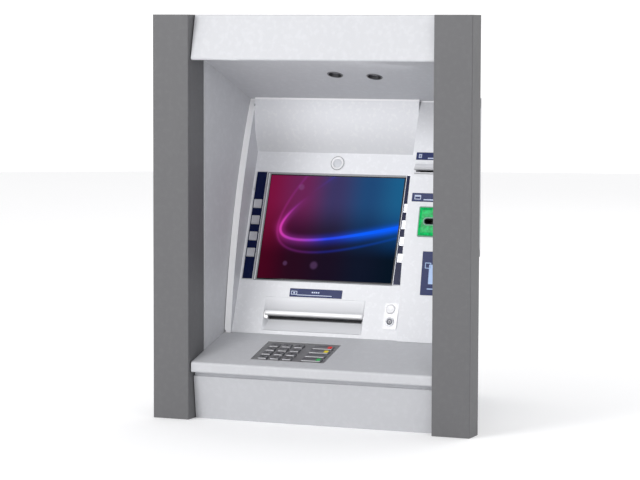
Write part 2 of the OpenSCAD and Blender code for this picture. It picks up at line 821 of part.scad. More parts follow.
module service_cabinet() {
  t = cabinet_t;
  low = cabinet_low;
  high = cabinet_high;
  front = [[79, high - t], [79, 752], [cabinet_front, 668], [cabinet_front, low + t]];
  color("gainsboro") placed() difference() {
    union() {
      for (z = [low, high - t]) plan(z, z + t, [
        [cabinet_left, z == low ? safe_front : 79], [cabinet_wide, z == low ? cabinet_front : 79],
        [cabinet_wide, cabinet_step], [cabinet_right, cabinet_step],
        [cabinet_right, cabinet_back], [cabinet_left, cabinet_back]]);
      side_profile(cabinet_left, cabinet_left + t,
                   concat(front, [[cabinet_back, low + t], [cabinet_back, high - t]]));
      side_profile(cabinet_wide - t, cabinet_wide,
                   concat(front, [[cabinet_step, low + t], [cabinet_step, high - t]]));
      block([cabinet_right, cabinet_step - t, low], [cabinet_wide, cabinet_step, high]);
      block([cabinet_right - t, cabinet_step - t, low], [cabinet_right, cabinet_back, high]);
      // Flange that the latch's cam closes behind
      block([catch_x, cabinet_back - catch_back - t, low + t],
            [cabinet_right - t, cabinet_back - catch_back, high - t]);
      block([cabinet_right - 8, cabinet_back - catch_back - t, low + t],
            [cabinet_right - t, cabinet_back, high - t]);
      // Flanges beside the recess walls
      block([cabinet_wide, cabinet_front, low], [flange_right, cabinet_front + t, flange_top]);
      block([flange_left, cabinet_front, low], [cabinet_left, cabinet_front + t, flange_top]);
      for (z = cab_hinge_low) {
        translate([cab_hinge_x, cab_hinge_y, z]) cylinder(r = cab_knuckle_r, h = 20);
        block([cab_hinge_x - 2, cabinet_back - 25, z], [cabinet_left - 0.8, cab_hinge_y, z + 20]);
        block([cab_hinge_x - 2, cabinet_back - 25, z], [cabinet_left, cabinet_back - 6, z + 20]);
      }
    }
    for (z = cab_hinge_low)
      translate([cab_hinge_x, cab_hinge_y, z - 1]) cylinder(r = cab_pin_r, h = 22);
    // Mains cable entry
    translate([entry_x, entry_y, high - t - 1]) cylinder(r = entry_r, h = t + 2);
  }
}

module cabinet_door() {
  color("gainsboro") placed() difference() {
    union() {
      block([cabinet_left, panel_y, cabinet_low + 3], [cabinet_right, panel_y + panel_t, cabinet_high - 1]);
      for (z = cab_hinge_low) translate([0, 0, z + 20 + gap]) {
        translate([cab_hinge_x, cab_hinge_y, 0]) cylinder(r = cab_knuckle_r, h = 20);
        block([cab_hinge_x, cab_hinge_y - 1, 0], [cabinet_left + 20, cab_hinge_y + cab_knuckle_r, 20]);
      }
    }
    for (z = cab_hinge_low) translate([cab_hinge_x, cab_hinge_y, z + 20])
      cylinder(r = cab_pin_r + running, h = 22);
    for (x = louvre_x, z = louvre_z)
      block([x, panel_y - 1, z], [x + louvre_w, panel_y + panel_t + 1, z + louvre_h]);
    along_y(latch_x, panel_y - 1, latch_z, latch_r + running, 8);
  }
}

module cabinet_latch() {
  color("silver") placed() difference() {
    union() {
      along_y(latch_x, cabinet_back - 12, latch_z, latch_r, 19.5);
      along_y(latch_x, panel_y + panel_t + gap, latch_z, latch_r + 3, 3);
      block([latch_x - 5, cabinet_back - 14, latch_z - 17], [latch_x + 5, cabinet_back - 11, latch_z + 5]);
    }
    // Keyhole
    block([latch_x - 0.8, cabinet_back + 2, latch_z - 3.5], [latch_x + 0.8, cabinet_back + 9, latch_z + 3.5]);
  }
}

module control_electronics() {
  color("darkslategray") placed() {
    difference() {
      block([-225, 345, cabinet_low + cabinet_t], [-40, 448, 560]);
      for (z = [360:12:440]) block([-41, 360, z], [-39, 430, z + 5]);
      block([-215, 446, 470], [-60, 449, 540]);
    }
    block([-20, 352, cabinet_low + cabinet_t], [120, 445, 430]);
    block([-40, 360, cabinet_low + cabinet_t], [-20, 440, cabinet_low + cabinet_t + 2]);
  }
}

left_pillar();
right_pillar();
header_panel();
recess_liner();
downlights();
main_fascia();
side_column();
shelf();
kick_panel();
display_glass();
lcd_monitor();
softkey_strips();
camera_window();
cash_bezel();
cash_shutter();
label_plates();
audio_plate();
volume_button();
receipt_lip();
receipt_printer();
paper_roll();
card_bezel();
card_shutter();
card_reader();
keypad_frame();
key_1();
key_2();
key_3();
key_4();
key_5();
key_6();
key_7();
key_8();
key_9();
key_star();
key_0();
key_hash();
key_cancel();
key_clear();
key_blank();
key_enter();
softkey_l1();
softkey_l2();
softkey_l3();
softkey_l4();
softkey_r1();
softkey_r2();
softkey_r3();
softkey_r4();
safe_body();
safe_door();
safe_handle();
lock_bolts();
hinge_pins();
note_cassette();
note_dispenser();
service_cabinet();
cabinet_door();
cabinet_latch();
control_electronics();
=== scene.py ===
"""The looks of a through-the-wall cash machine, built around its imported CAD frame.

Every surface has its own axes in millimetres: X along it, Y into it and Z up it.
"""

import json
import math

import bmesh
import bpy
from mathutils import Matrix, Vector


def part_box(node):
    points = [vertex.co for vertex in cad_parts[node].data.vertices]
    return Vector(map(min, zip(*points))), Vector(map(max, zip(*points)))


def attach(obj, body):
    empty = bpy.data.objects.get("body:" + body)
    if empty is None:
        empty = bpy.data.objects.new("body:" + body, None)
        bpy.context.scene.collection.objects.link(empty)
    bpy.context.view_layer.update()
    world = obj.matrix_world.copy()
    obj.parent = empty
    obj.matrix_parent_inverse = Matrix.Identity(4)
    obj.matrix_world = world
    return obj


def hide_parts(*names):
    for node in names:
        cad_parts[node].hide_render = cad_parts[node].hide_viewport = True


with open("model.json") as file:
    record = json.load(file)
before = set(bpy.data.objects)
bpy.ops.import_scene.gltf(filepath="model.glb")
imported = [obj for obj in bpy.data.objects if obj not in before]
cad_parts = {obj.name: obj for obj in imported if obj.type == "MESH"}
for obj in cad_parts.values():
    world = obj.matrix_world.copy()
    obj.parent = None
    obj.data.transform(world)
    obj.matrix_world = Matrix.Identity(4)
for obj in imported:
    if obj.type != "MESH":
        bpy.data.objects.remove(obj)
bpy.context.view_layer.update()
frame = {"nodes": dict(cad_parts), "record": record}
MM = 0.001
RECORD = frame["record"]
BODY = {node: body for body, nodes in RECORD["behaviour"]["bodies"].items() for node in nodes}
DIGITS = ["1", "2", "3", "4", "5", "6", "7", "8", "9", "star", "0", "hash"]
FACE_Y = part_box("left_pillar")[0].y


# ---- Camera, light and floor ----

def make_camera():
    """The camera stands to the right of the machine, a little above its middle."""
    place = (1.9321, -4.9357, 0.7992)
    yaw, pitch, roll = (math.radians(angle) for angle in (22.35, -4.77, 0.19))
    data = bpy.data.cameras.new("camera")
    data.sensor_width = 36
    data.lens = 141.47
    camera = bpy.data.objects.new("camera", data)
    camera.matrix_world = (
        Matrix.Translation(place)
        @ Matrix.Rotation(yaw, 4, "Z")
        @ Matrix.Rotation(math.pi / 2 + pitch, 4, "X")
        @ Matrix.Rotation(roll, 4, "Z")
    )
    bpy.context.scene.collection.objects.link(camera)
    bpy.context.scene.camera = camera


def make_world():
    """White light from all round, which gets stronger from the front towards the back."""
    start, end, front, behind = 0.1, 0.7, 0.72, 1.15
    world = bpy.data.worlds.new("studio")
    world.use_nodes = True
    nodes, links = world.node_tree.nodes, world.node_tree.links
    parts = nodes.new("ShaderNodeSeparateXYZ")
    links.new(nodes.new("ShaderNodeTexCoord").outputs["Generated"], parts.inputs[0])
    strength = nodes.new("ShaderNodeMapRange")
    for socket, value in zip(strength.inputs[1:5], (start, end, front, behind)):
        socket.default_value = value
    links.new(parts.outputs["Y"], strength.inputs[0])
    links.new(strength.outputs[0], nodes["Background"].inputs["Strength"])
    nodes["Background"].inputs["Color"].default_value = (1.0, 1.0, 1.0, 1)
    bpy.context.scene.world = world
    bpy.context.scene.view_settings.view_transform = "Standard"


def area_light(name, place, target, size, power, width=None):
    """A round light of one size, or an oval one when it has a width too."""
    data = bpy.data.lights.new(name, "AREA")
    data.shape = "ELLIPSE" if width else "DISK"
    data.size = width or size
    data.size_y = size
    data.energy = power
    light = bpy.data.objects.new(name, data)
    light.location = place
    light.rotation_euler = (Vector(target) - Vector(place)).to_track_quat("-Z", "Y").to_euler()
    bpy.context.scene.collection.objects.link(light)


def make_lights():
    """A large soft key from the front and left, and weak light from the other sides."""
    area_light("key", (-2.4, -5.2, 2.6), (0, 0, 0.42), 2.6, 150)
    area_light("fill", (3.4, -4.0, 1.6), (0, 0, 0.45), 3.0, 26)
    area_light("rear", (1.5, 4.6, 3.0), (0, 0, 0.4), 3.0, 40)
    area_light("recess", (0, -0.25, 0.725), (-0.08, 0.02, 0.6), 0.06, 0.03, 0.4)


def make_floor():
    mesh = bmesh.new()
    bmesh.ops.create_circle(mesh, cap_ends=True, radius=9, segments=96)
    data = bpy.data.meshes.new("floor")
    mesh.to_mesh(data)
    mesh.free()
    floor = bpy.data.objects.new("floor", data)
    bpy.context.scene.collection.objects.link(floor)
    data.materials.append(painted("floor_paint", (242, 242, 243), 0.9, grain=60, glow=0.2))


# ---- Materials ----

def linear(colour):
    """A display colour of three 0 to 255 values, as the shader's own colour."""
    parts = [part / 255 for part in colour]
    return [p / 12.92 if p <= 0.04045 else ((p + 0.055) / 1.055) ** 2.4 for p in parts] + [1]


class Field:
    """A number that varies over a surface: one output of a graph, which arithmetic works on."""

    def __init__(self, graph, socket):
        self.graph = graph
        self.socket = socket

    def __add__(self, other):
        return self.graph.math("ADD", self, other)

    def __sub__(self, other):
        return self.graph.math("SUBTRACT", self, other)

    def __mul__(self, other):
        return self.graph.math("MULTIPLY", self, other)

    def __truediv__(self, other):
        return self.graph.math("DIVIDE", self, other)

    def __pow__(self, other):
        return self.graph.math("POWER", self, other)

    __rmul__ = __mul__

    def step(self, start, end):
        """Goes smoothly from 0 at start to 1 at end."""
        made = self.graph.node(
            "ShaderNodeMapRange", {0: self, 1: start, 2: end}, interpolation_type="SMOOTHSTEP"
        )
        return Field(self.graph, made.outputs[0])

    def glow(self, width):
        """1 where the field is 0, fading to nothing at a few widths."""
        scaled = self / width
        return self.graph.math("EXPONENT", scaled * scaled * -1.0)


class Graph:
    """A new material, its shader, and helpers that add nodes to it."""

    def __init__(self, name):
        self.material = bpy.data.materials.new(name)
        self.material.use_nodes = True
        self.nodes = self.material.node_tree.nodes
        self.links = self.material.node_tree.links
        self.shader = self.nodes["Principled BSDF"]
        self.coordinates = self.nodes.new("ShaderNodeTexCoord")

    def put(self, socket, value):
        if isinstance(value, Field):
            value = value.socket
        if isinstance(value, bpy.types.NodeSocket):
            self.links.new(value, socket)
        else:
            socket.default_value = value

    def node(self, kind, inputs, **settings):
        made = self.nodes.new(kind)
        for name, value in settings.items():
            setattr(made, name, value)
        for key, value in inputs.items():
            self.put(made.inputs[key], value)
        return made

    def math(self, operation, first, second=0.0):
        made = self.node("ShaderNodeMath", {0: first, 1: second}, operation=operation)
        return Field(self, made.outputs[0])

    def set(self, **inputs):
        """Sets or links the shader's inputs, where _ in a name stands for a space."""
        for name, value in inputs.items():
            self.put(self.shader.inputs[name.replace("_", " ")], value)

    def noise(self, scale, detail, stretch=(1, 1, 1)):
        """Noise with features about 1 / scale metres wide, drawn out by a stretch under 1."""
        place = self.node("ShaderNodeMapping", {0: self.coordinates.outputs["Object"], 3: stretch})
        made = self.node(
            "ShaderNodeTexNoise", {"Vector": place.outputs[0], "Scale": scale, "Detail": detail}
        )
        return Field(self, made.outputs["Fac"])

    def attribute(self, name):
        made = self.node("ShaderNodeAttribute", {}, attribute_name=name)
        return Field(self, made.outputs["Fac"])

    def mix(self, factor, first, second):
        """A colour between two colours or colour sockets."""
        made = self.node("ShaderNodeMix", {0: factor, 6: first, 7: second}, data_type="RGBA")
        return made.outputs[2]

    def shades(self, colour, factor, spread):
        """A colour that gets darker and lighter by spread as factor goes from 0 to 1."""
        dark = [part * (1 - spread) for part in colour[:3]] + [1]
        light = [min(1, part * (1 + spread)) for part in colour[:3]] + [1]
        return self.mix(factor, dark, light)

    def bump(self, height, distance, strength):
        made = self.node(
            "ShaderNodeBump", {"Height": height, "Distance": distance, "Strength": strength}
        )
        self.set(Normal=made.outputs[0])


MATERIALS = {}


def named(make):
    """Keeps each material that make has made, by name, so that it is made once."""

    def wrapped(name, *values, **options):
        if name not in MATERIALS:
            graph = Graph(name)
            make(graph, *values, **options)
            MATERIALS[name] = graph.material
        return MATERIALS[name]

    return wrapped


@named
def painted(graph, colour, roughness, grain=900, relief=0.03, spread=0.012, worn=0.3, glow=0.0):
    """Powder coat or paint: a slight cloudiness, an orange peel, and paler rubbed edges."""
    base = linear(colour)
    clouds = graph.noise(3, 2)
    smears = graph.noise(26, 5, (1, 1, 0.35))
    peel = graph.noise(grain, 2)
    body = graph.shades(base, clouds * 0.5 + peel * 0.5, spread)
    edge = graph.attribute("edge") * graph.noise(90, 5).step(0.46, 0.66) * worn
    rubbed = [min(1, part * 1.2 + 0.02) for part in base[:3]] + [1]
    graph.set(Base_Color=graph.mix(edge, body, rubbed), Specular_IOR_Level=0.4)
    graph.set(Emission_Color=body, Emission_Strength=glow)
    graph.set(Roughness=(smears - 0.5) * 0.16 + peel * 0.06 + (roughness - 0.03))
    graph.bump(peel, relief * MM, 0.5)


@named
def moulded(graph, colour, roughness, grain=1400, relief=0.02, coat=0.0, fade=None):
    """Moulded plastic: a fine spark-eroded grain, and a little flow shading.

    Where a vertex has a painted shade it is darker. fade = (start, end, share) adds painted
    shade that darkens it by share from one height to another.
    """
    base = linear(colour)
    flow = graph.noise(4, 2, (1, 1, 0.4))
    spark = graph.noise(grain, 3)
    edge = graph.attribute("edge") * graph.noise(120, 4).step(0.5, 0.7) * 0.3
    body = graph.shades(base, flow * 0.6 + spark * 0.4, 0.01)
    pale = [min(1, part * 1.15 + 0.03) for part in base[:3]] + [1]
    dim = graph.attribute("shade")
    # fade adds painted shade that grows from one height to another.
    if fade:
        start, end, share = fade
        up = graph.node("ShaderNodeSeparateXYZ", {0: graph.coordinates.outputs["Object"]})
        dim = dim + Field(graph, up.outputs["Z"]).step(start, end) * share
    skin = graph.mix(dim, graph.mix(edge, body, pale), [0.0, 0.0, 0.0, 1])
    graph.set(Base_Color=skin, Coat_Weight=coat)
    graph.set(Roughness=(flow - 0.5) * 0.1 + (spark - 0.5) * 0.12 + roughness)
    graph.bump(spark, relief * MM, 0.5)


@named
def metal(graph, colour, roughness, stretch=(0.03, 1, 1), grain=1600, spread=0.1):
    """Brushed or rolled metal: fine lines along the axis that stretch draws out."""
    lines = graph.noise(grain, 4, stretch)
    stains = graph.noise(14, 4)
    body = graph.shades(linear(colour), (lines * 0.6 + stains * 0.4).step(0.3, 0.7), spread)
    edge = graph.attribute("edge") * 0.35
    graph.set(Base_Color=graph.mix(edge, body, [0.9, 0.9, 0.9, 1]), Metallic=0.9)
    graph.set(Roughness=(lines - 0.5) * 0.22 + (stains - 0.5) * 0.1 + roughness)
    graph.bump(lines, 0.02 * MM, 0.5)


@named
def glossy(graph, colour, roughness=0.16, glow=0.0):
    """Glossy printed or moulded surface, with faint smears."""
    smears = graph.noise(24, 5, (1, 1, 0.3))
    specks = graph.noise(900, 2)
    body = graph.shades(linear(colour), smears * 0.7 + specks * 0.3, 0.08)
    graph.set(Base_Color=body, Specular_IOR_Level=0.12)
    graph.set(Roughness=(smears - 0.5) * 0.2 + specks * 0.04 + roughness)
    # glow paints a faint light of the surface's own colour into it.
    if glow:
        graph.set(Emission_Color=body, Emission_Strength=glow)
    graph.bump(specks, 0.008 * MM, 0.4)


@named
def lit_green(graph, lamps):
    """Translucent green moulding, lit from inside by lamps at the given places, in metres."""
    haze = graph.noise(160, 4)
    body = graph.shades(linear((6, 170, 86)), haze.step(0.3, 0.7), 0.3)
    place = graph.coordinates.outputs["Object"]
    light = None
    for lamp in lamps:
        away = graph.node("ShaderNodeVectorMath", {0: place, 1: lamp}, operation="DISTANCE")
        spot = Field(graph, away.outputs["Value"]).glow(0.0055)
        light = spot if light is None else light + spot
    shine = graph.mix(light * 0.45, body, linear((90, 250, 170)))
    graph.set(Base_Color=shine, Emission_Color=shine, Emission_Strength=0.1)
    graph.set(Subsurface_Weight=0.2, Subsurface_Scale=0.006, Specular_IOR_Level=0.1)
    graph.set(Roughness=haze * 0.2 + 0.12)
    graph.bump(haze, 0.03 * MM, 0.4)


def ramp(graph, factor, colours):
    """A colour that runs through evenly spaced colours as factor goes from 0 to 1."""
    made = graph.node("ShaderNodeValToRGB", {0: factor})
    stops = made.color_ramp.elements
    while len(stops) < len(colours):
        stops.new(0.5)
    for i, colour in enumerate(colours):
        stops[i].position = i / (len(colours) - 1)
        stops[i].color = linear(colour)
    made.color_ramp.interpolation = "EASE"
    return made.outputs[0]


def arc_field(graph, across, up, corner, lean, bend):
    """How far a point is from a parabola that opens towards the right, and how far along it."""
    lean = math.radians(lean)
    x, y = across - corner[0], up - corner[1]
    along = x * math.cos(lean) + y * math.sin(lean)
    side = y * math.cos(lean) - x * math.sin(lean)
    steep = graph.math("SQRT", side * side * (4 * bend * bend) + 1.0)
    return (along - side * side * bend) / steep, along, side


@named
def screen_picture(graph):
    """A lit display: crimson to blue, three soft arcs of light and three dim dots."""
    parts = graph.node("ShaderNodeSeparateXYZ", {0: graph.coordinates.outputs["UV"]})
    u, v = Field(graph, parts.outputs[0]), Field(graph, parts.outputs[1])
    top = ramp(graph, u, [(120, 18, 60), (106, 36, 84), (60, 54, 98), (32, 72, 118), (28, 94, 138)])
    middle = ramp(graph, u, [(100, 12, 44), (56, 14, 44), (34, 28, 52), (18, 46, 84), (14, 62, 116)])
    low = ramp(graph, u, [(68, 5, 28), (38, 8, 27), (24, 13, 32), (13, 20, 39), (3, 18, 33)])
    back = graph.mix(v.step(0.42, 0.78), graph.mix(v.step(0.2, 0.5), low, middle), top)

    across = u * (4 / 3)
    near, along, side = arc_field(graph, across, v, (0.172, 0.455), 24, 6.8)
    fade = side.step(0.24, 0.05) * along.step(1.35, 0.6) + 0.25 * along.step(0.3, 1.0)
    streak = (near.glow(0.011) + near.glow(0.045) * 0.3) * fade
    colour = ramp(graph, across, [(240, 60, 170), (170, 60, 175), (40, 70, 235), (10, 95, 255)])
    wide, reach, _ = arc_field(graph, across, v, (0.17, 0.49), 31, 3.1)
    sheen = wide.glow(0.035) * reach.step(0.35, 1.1) * 0.75
    faint, _, _ = arc_field(graph, across, v, (0.165, 0.375), 33, 2.9)
    trace = faint.glow(0.012) * 0.16

    dots = None
    for place, size in (((0.32, 0.89), 0.04), ((0.26, 0.15), 0.03), ((0.55, 0.14), 0.05)):
        away = graph.math("SQRT", (across - place[0]) ** 2.0 + (v - place[1]) ** 2.0)
        dot = away.step(size, size * 0.4) * 0.13
        dots = dot if dots is None else dots + dot
    lit = graph.mix(streak + sheen + trace, back, colour)
    lit = graph.mix(dots, lit, linear((170, 120, 190)))
    lines = graph.math("SINE", v * 1900.0) * 0.02 + 1.0
    graph.set(Base_Color=[0.0006, 0.0006, 0.001, 1], Emission_Color=lit, Emission_Strength=lines)
    graph.set(Roughness=graph.noise(30, 4) * 0.08 + 0.08, Specular_IOR_Level=0.01, IOR=1.15)
    graph.bump(graph.noise(600, 2), 0.002 * MM, 0.3)


PILLAR = painted("pillar_powder", (98, 98, 100), 0.55, spread=0.006, worn=0.15)
HEADER = painted("header_powder", (197, 198, 202), 0.5, worn=0.2)
LINER = painted("liner_powder", (188, 189, 193), 0.55, worn=0.2)
KICK = painted("kick_paint", (183, 184, 188), 0.45, relief=0.02, worn=0.15)
SHELF = painted("shelf_paint", (190, 191, 195), 0.42, relief=0.02, worn=0.15)
FASCIA = moulded("fascia_plastic", (226, 227, 231), 0.5)
# Painted light and shade: the belly is lighter than the fascia, and darker towards its bottom.
BELLY_LIGHT_AND_SHADE = moulded("belly_plastic", (236, 237, 241), 0.5, fade=(0.64, 0.535, 0.26))
# Painted shade: the side column gets darker towards its top.
COLUMN = moulded("column_plastic", (226, 227, 231), 0.5, fade=(0.545, 0.645, 0.17))
TRIM = moulded("trim_plastic", (252, 252, 254), 0.4)
# Painted shade: a grey for fascia faces that turn away from the light, and for the fold under the
# shelf's nose.
SHADED_RETURN = moulded("return_plastic", (196, 197, 202), 0.5)
WHITE = moulded("white_plastic", (230, 230, 233), 0.35, coat=0.2)
DARK = moulded("dark_plastic", (38, 39, 42), 0.55)
BLACK = moulded("black_plastic", (12, 12, 13), 0.6)
NAVY = glossy("navy_gloss", (7, 18, 58), 0.2)
LABEL = glossy("label_navy", (36, 46, 92), 0.25)
MARK = glossy("label_marks", (206, 216, 240), 0.3)
SKY = glossy("label_sky", (176, 200, 238), 0.3)
SOFTKEY = metal("softkey_satin", (214, 215, 220), 0.42, (1, 1, 0.05))
STEEL = metal("keypad_steel", (58, 58, 61), 0.45, (0.05, 1, 1))
KEY = metal("key_steel", (136, 136, 139), 0.4, (0.05, 1, 1))
BRIGHT = metal("bright_steel", (205, 206, 208), 0.28, (1, 1, 0.04))
ZINC = metal("zinc_sheet", (176, 178, 182), 0.45, (1, 1, 0.2), 400, 0.14)
SAFE = painted("safe_powder", (112, 117, 124), 0.6, grain=420, relief=0.12)
CABINET = painted("cabinet_powder", (190, 191, 194), 0.55, grain=520, relief=0.08)
CASSETTE = moulded("cassette_plastic", (62, 66, 72), 0.5)
PAPER = painted("thermal_paper", (236, 235, 230), 0.85, grain=1800, relief=0.02, worn=0)


# ---- Axes and places ----

def solids(node):
    """The points of each separate solid of a CAD node, in metres."""
    mesh = bmesh.new()
    mesh.from_mesh(frame["nodes"][node].data)
    bmesh.ops.remove_doubles(mesh, verts=mesh.verts, dist=1e-6)
    left, groups = set(mesh.verts), []
    while left:
        found, waiting = [], [left.pop()]
        while waiting:
            vert = waiting.pop()
            found.append(vert.co.copy())
            near = {edge.other_vert(vert) for edge in vert.link_edges} & left
            left -= near
            waiting.extend(near)
        groups.append(found)
    mesh.free()
    return groups


def span(points, place):
    """Lowest and highest corner of points, or of a CAD node, in the axes of place."""
    if isinstance(points, str):
        points = [vert.co for vert in frame["nodes"][points].data.vertices]
    back = place.inverted()
    local = [back @ point for point in points]
    low = Vector([min(p[i] for p in local) for i in range(3)])
    high = Vector([max(p[i] for p in local) for i in range(3)])
    return low, high


def axes(lean, points, proud):
    """Millimetre axes on a face that leans back by lean degrees, where the solid stands proud."""
    turn = Matrix.Rotation(math.radians(-lean), 4, "X") @ Matrix.Scale(MM, 4)
    low, _ = span(points, turn)
    return turn @ Matrix.Translation((0, low.y + proud, low.z))


# The side column's face is an arc. COLUMN_Y is how far its centre is behind the pillars' faces.
COLUMN_Y = 1781
COLUMN_Z = -10.7
COLUMN_R = 1623.5


def column_lean(z):
    """How far the side column's face leans back at height z, in radians."""
    return math.asin((z - COLUMN_Z) / COLUMN_R)


def column(z):
    """Millimetre axes on the side column's face at height z."""
    lean = column_lean(z)
    y = COLUMN_Y - math.sqrt(COLUMN_R**2 - (z - COLUMN_Z) ** 2) + FACE_Y / MM
    return (
        Matrix.Scale(MM, 4)
        @ Matrix.Translation((0, y, z))
        @ Matrix.Rotation(-lean, 4, "X")
    )


def on_column(points):
    """Millimetre axes on the column, at the foot of a 1 mm plate that has these points."""
    height = sum(point.z for point in points) / len(points) / MM
    return axes(math.degrees(column_lean(height)), points, 1)


def facing_back(y):
    """Millimetre axes on a plane at depth y that faces away from the user."""
    return Matrix.Scale(MM, 4) @ Matrix.Translation((0, y, 0)) @ Matrix.Rotation(math.pi, 4, "Z")


def facing_up(z):
    """Millimetre axes on a plane at height z that faces up, where Z runs into the wall."""
    turn = Matrix.Rotation(-math.pi / 2, 4, "X")
    return Matrix.Scale(MM, 4) @ Matrix.Translation((0, 0, z)) @ turn


def facing_side(x, way):
    """Millimetre axes on a plane at x that faces right, where way is 1, or left, where it is -1."""
    turn = Matrix.Rotation(way * math.pi / 2, 4, "Z")
    return Matrix.Scale(MM, 4) @ Matrix.Translation((x, 0, 0)) @ turn


SLOPE = axes(20, "display_glass", -0.8)
PAD = axes(74.6, "keypad_frame", -1)
CEILING = axes(-69, "downlights", 1.5)
PLAIN = Matrix.Scale(MM, 4)
FACE_LEFT = min(span(points, PLAIN)[0].x for points in solids("softkey_strips")) - 4


def box_of(low, high, inset=0.0):
    """The rectangle between two corners, made smaller all round by inset."""
    return low.x + inset, low.z + inset, high.x - inset, high.z - inset


def middle(low, high):
    return (low.x + high.x) / 2, (low.z + high.z) / 2


# ---- Mesh helpers ----

def rounded(x0, z0, x1, z1, radius, steps):
    """The outline of a rectangle with round corners."""
    radius = max(min(radius, (x1 - x0) / 2, (z1 - z0) / 2) - 1e-3, 1e-3)
    points = []
    for x, z, start in (
        (x1 - radius, z1 - radius, 0), (x0 + radius, z1 - radius, 90),
        (x0 + radius, z0 + radius, 180), (x1 - radius, z0 + radius, 270),
    ):
        for i in range(steps + 1):
            angle = math.radians(start + 90 * i / steps)
            points.append((x + radius * math.cos(angle), z + radius * math.sin(angle)))
    return points


def circle(x, z, radius, steps):
    turns = [math.tau * i / steps for i in range(steps)]
    return [(x + radius * math.cos(a), z + radius * math.sin(a)) for a in turns]


def loft(mesh, rings, material=0, ends="capped"):
    """Joins rings of points with faces.

    material is one index, or one for each band of faces. The ends are "capped", left "open",
    or "joined" to each other.
    """
    rows = [[mesh.verts.new(point) for point in ring] for ring in rings]
    if ends == "joined":
        rows.append(rows[0])
    indices = [material] * (len(rows) - 1) if isinstance(material, int) else material
    for before, after, index in zip(rows, rows[1:], indices):
        for i in range(len(before)):
            corners = (before[i - 1], before[i], after[i], after[i - 1])
            mesh.faces.new(corners).material_index = index
    if ends == "capped":
        mesh.faces.new(rows[0][::-1]).material_index = indices[0]
        mesh.faces.new(rows[-1]).material_index = indices[-1]


def plates(mesh, place, levels, material=0, ends="capped", steps=4):
    """Lofts rounded rectangles, each (x0, z0, x1, z1, radius, depth)."""
    rings = [
        [place @ Vector((x, depth, z)) for x, z in rounded(x0, z0, x1, z1, radius, steps)]
        for x0, z0, x1, z1, radius, depth in levels
    ]
    loft(mesh, rings, material, ends)


def pad(mesh, place, box, radius, levels, material=0, steps=4):
    """Lofts one rounded rectangle through levels of (inset, depth)."""
    x0, z0, x1, z1 = box
    rows = [(x0 + i, z0 + i, x1 - i, z1 - i, radius - i * 0.6, depth) for i, depth in levels]
    plates(mesh, place, rows, material, steps=steps)


def lathe(mesh, place, x, z, profile, material=0, ends="capped", steps=40):
    """Turns a profile of (radius, depth) about the axis through x and z."""
    rings = [
        [place @ Vector((a, depth, b)) for a, b in circle(x, z, radius, steps)]
        for radius, depth in profile
    ]
    loft(mesh, rings, material, ends)


def beam(mesh, place, profile, xs, scale=None):
    """Runs a closed profile of (depth, z) along X. scale(x) gives how far it stands out there."""
    rings = []
    for x in xs:
        out = scale(x) if scale else 1
        rings.append([place @ Vector((x, y * out if y < 0 else y, z)) for y, z in profile])
    loft(mesh, rings)


def shell(mesh, place, xs, zs, depth, thickness):
    """A closed shell whose face is at depth(x, z), with a back behind it."""
    front, back = (
        [[mesh.verts.new(place @ Vector((x, depth(x, z) + t, z))) for x in xs] for z in zs]
        for t in (0, thickness)
    )
    for grid in (front, back):
        for low, high in zip(grid, grid[1:]):
            for j in range(len(xs) - 1):
                mesh.faces.new((low[j], low[j + 1], high[j + 1], high[j]))
    rows, columns = range(len(zs)), range(len(xs))
    border = [(0, j) for j in columns] + [(i, columns[-1]) for i in rows[1:]]
    border += [(rows[-1], j) for j in columns[-2::-1]] + [(i, 0) for i in rows[-2:0:-1]]
    for (i, j), (k, m) in zip(border, border[1:] + border[:1]):
        mesh.faces.new((front[i][j], front[k][m], back[k][m], back[i][j]))


def smooth(t):
    """Goes smoothly from 0 at 0 to 1 at 1."""
    t = min(max(t, 0), 1)
    return t * t * (3 - 2 * t)


def steps_between(start, end, count):
    return [start + (end - start) * i / count for i in range(count + 1)]


def from_ends(low, high, steps):
    """Places at the same steps inwards from both ends."""
    return [low + step for step in steps] + [high - step for step in reversed(steps)]


def rounded_end(x, low, high, reach, least):
    """Goes from least at both ends up to 1 within reach of them, in a quarter round."""
    share = min(min(x - low, high - x) / reach, 1)
    return least + (1 - least) * math.sqrt(max(0, 1 - (1 - share) ** 2))


def finished(name, mesh, materials, node, replaced=True, sharp=32):
    """Makes the piece, which rides with its CAD node's body."""
    bmesh.ops.remove_doubles(mesh, verts=mesh.verts, dist=1e-6)
    bmesh.ops.recalc_face_normals(mesh, faces=mesh.faces)
    data = bpy.data.meshes.new(name)
    mesh.to_mesh(data)
    mesh.free()
    for material in materials if isinstance(materials, list) else [materials]:
        data.materials.append(material)
    data.shade_smooth()
    data.set_sharp_from_angle(angle=math.radians(sharp))
    piece = bpy.data.objects.new(name, data)
    bpy.context.scene.collection.objects.link(piece)
    weighted = piece.modifiers.new("weighted", "WEIGHTED_NORMAL")
    weighted.keep_sharp = True
    if replaced:
        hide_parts(node)
    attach(piece, BODY[node])


def fitting(name, mesh, materials, node, sharp=32):
    """Makes one more piece for a node, beside the piece that replaces it."""
    finished(name, mesh, materials, node, replaced=False, sharp=sharp)


def cad_shape(node):
    """A copy of a CAD node's shape, with its flat faces whole again."""
    mesh = bmesh.new()
    mesh.from_mesh(frame["nodes"][node].data)
    bmesh.ops.remove_doubles(mesh, verts=mesh.verts, dist=1e-6)
    bmesh.ops.dissolve_limit(
        mesh, angle_limit=math.radians(0.1), verts=mesh.verts, edges=mesh.edges
    )
    return mesh


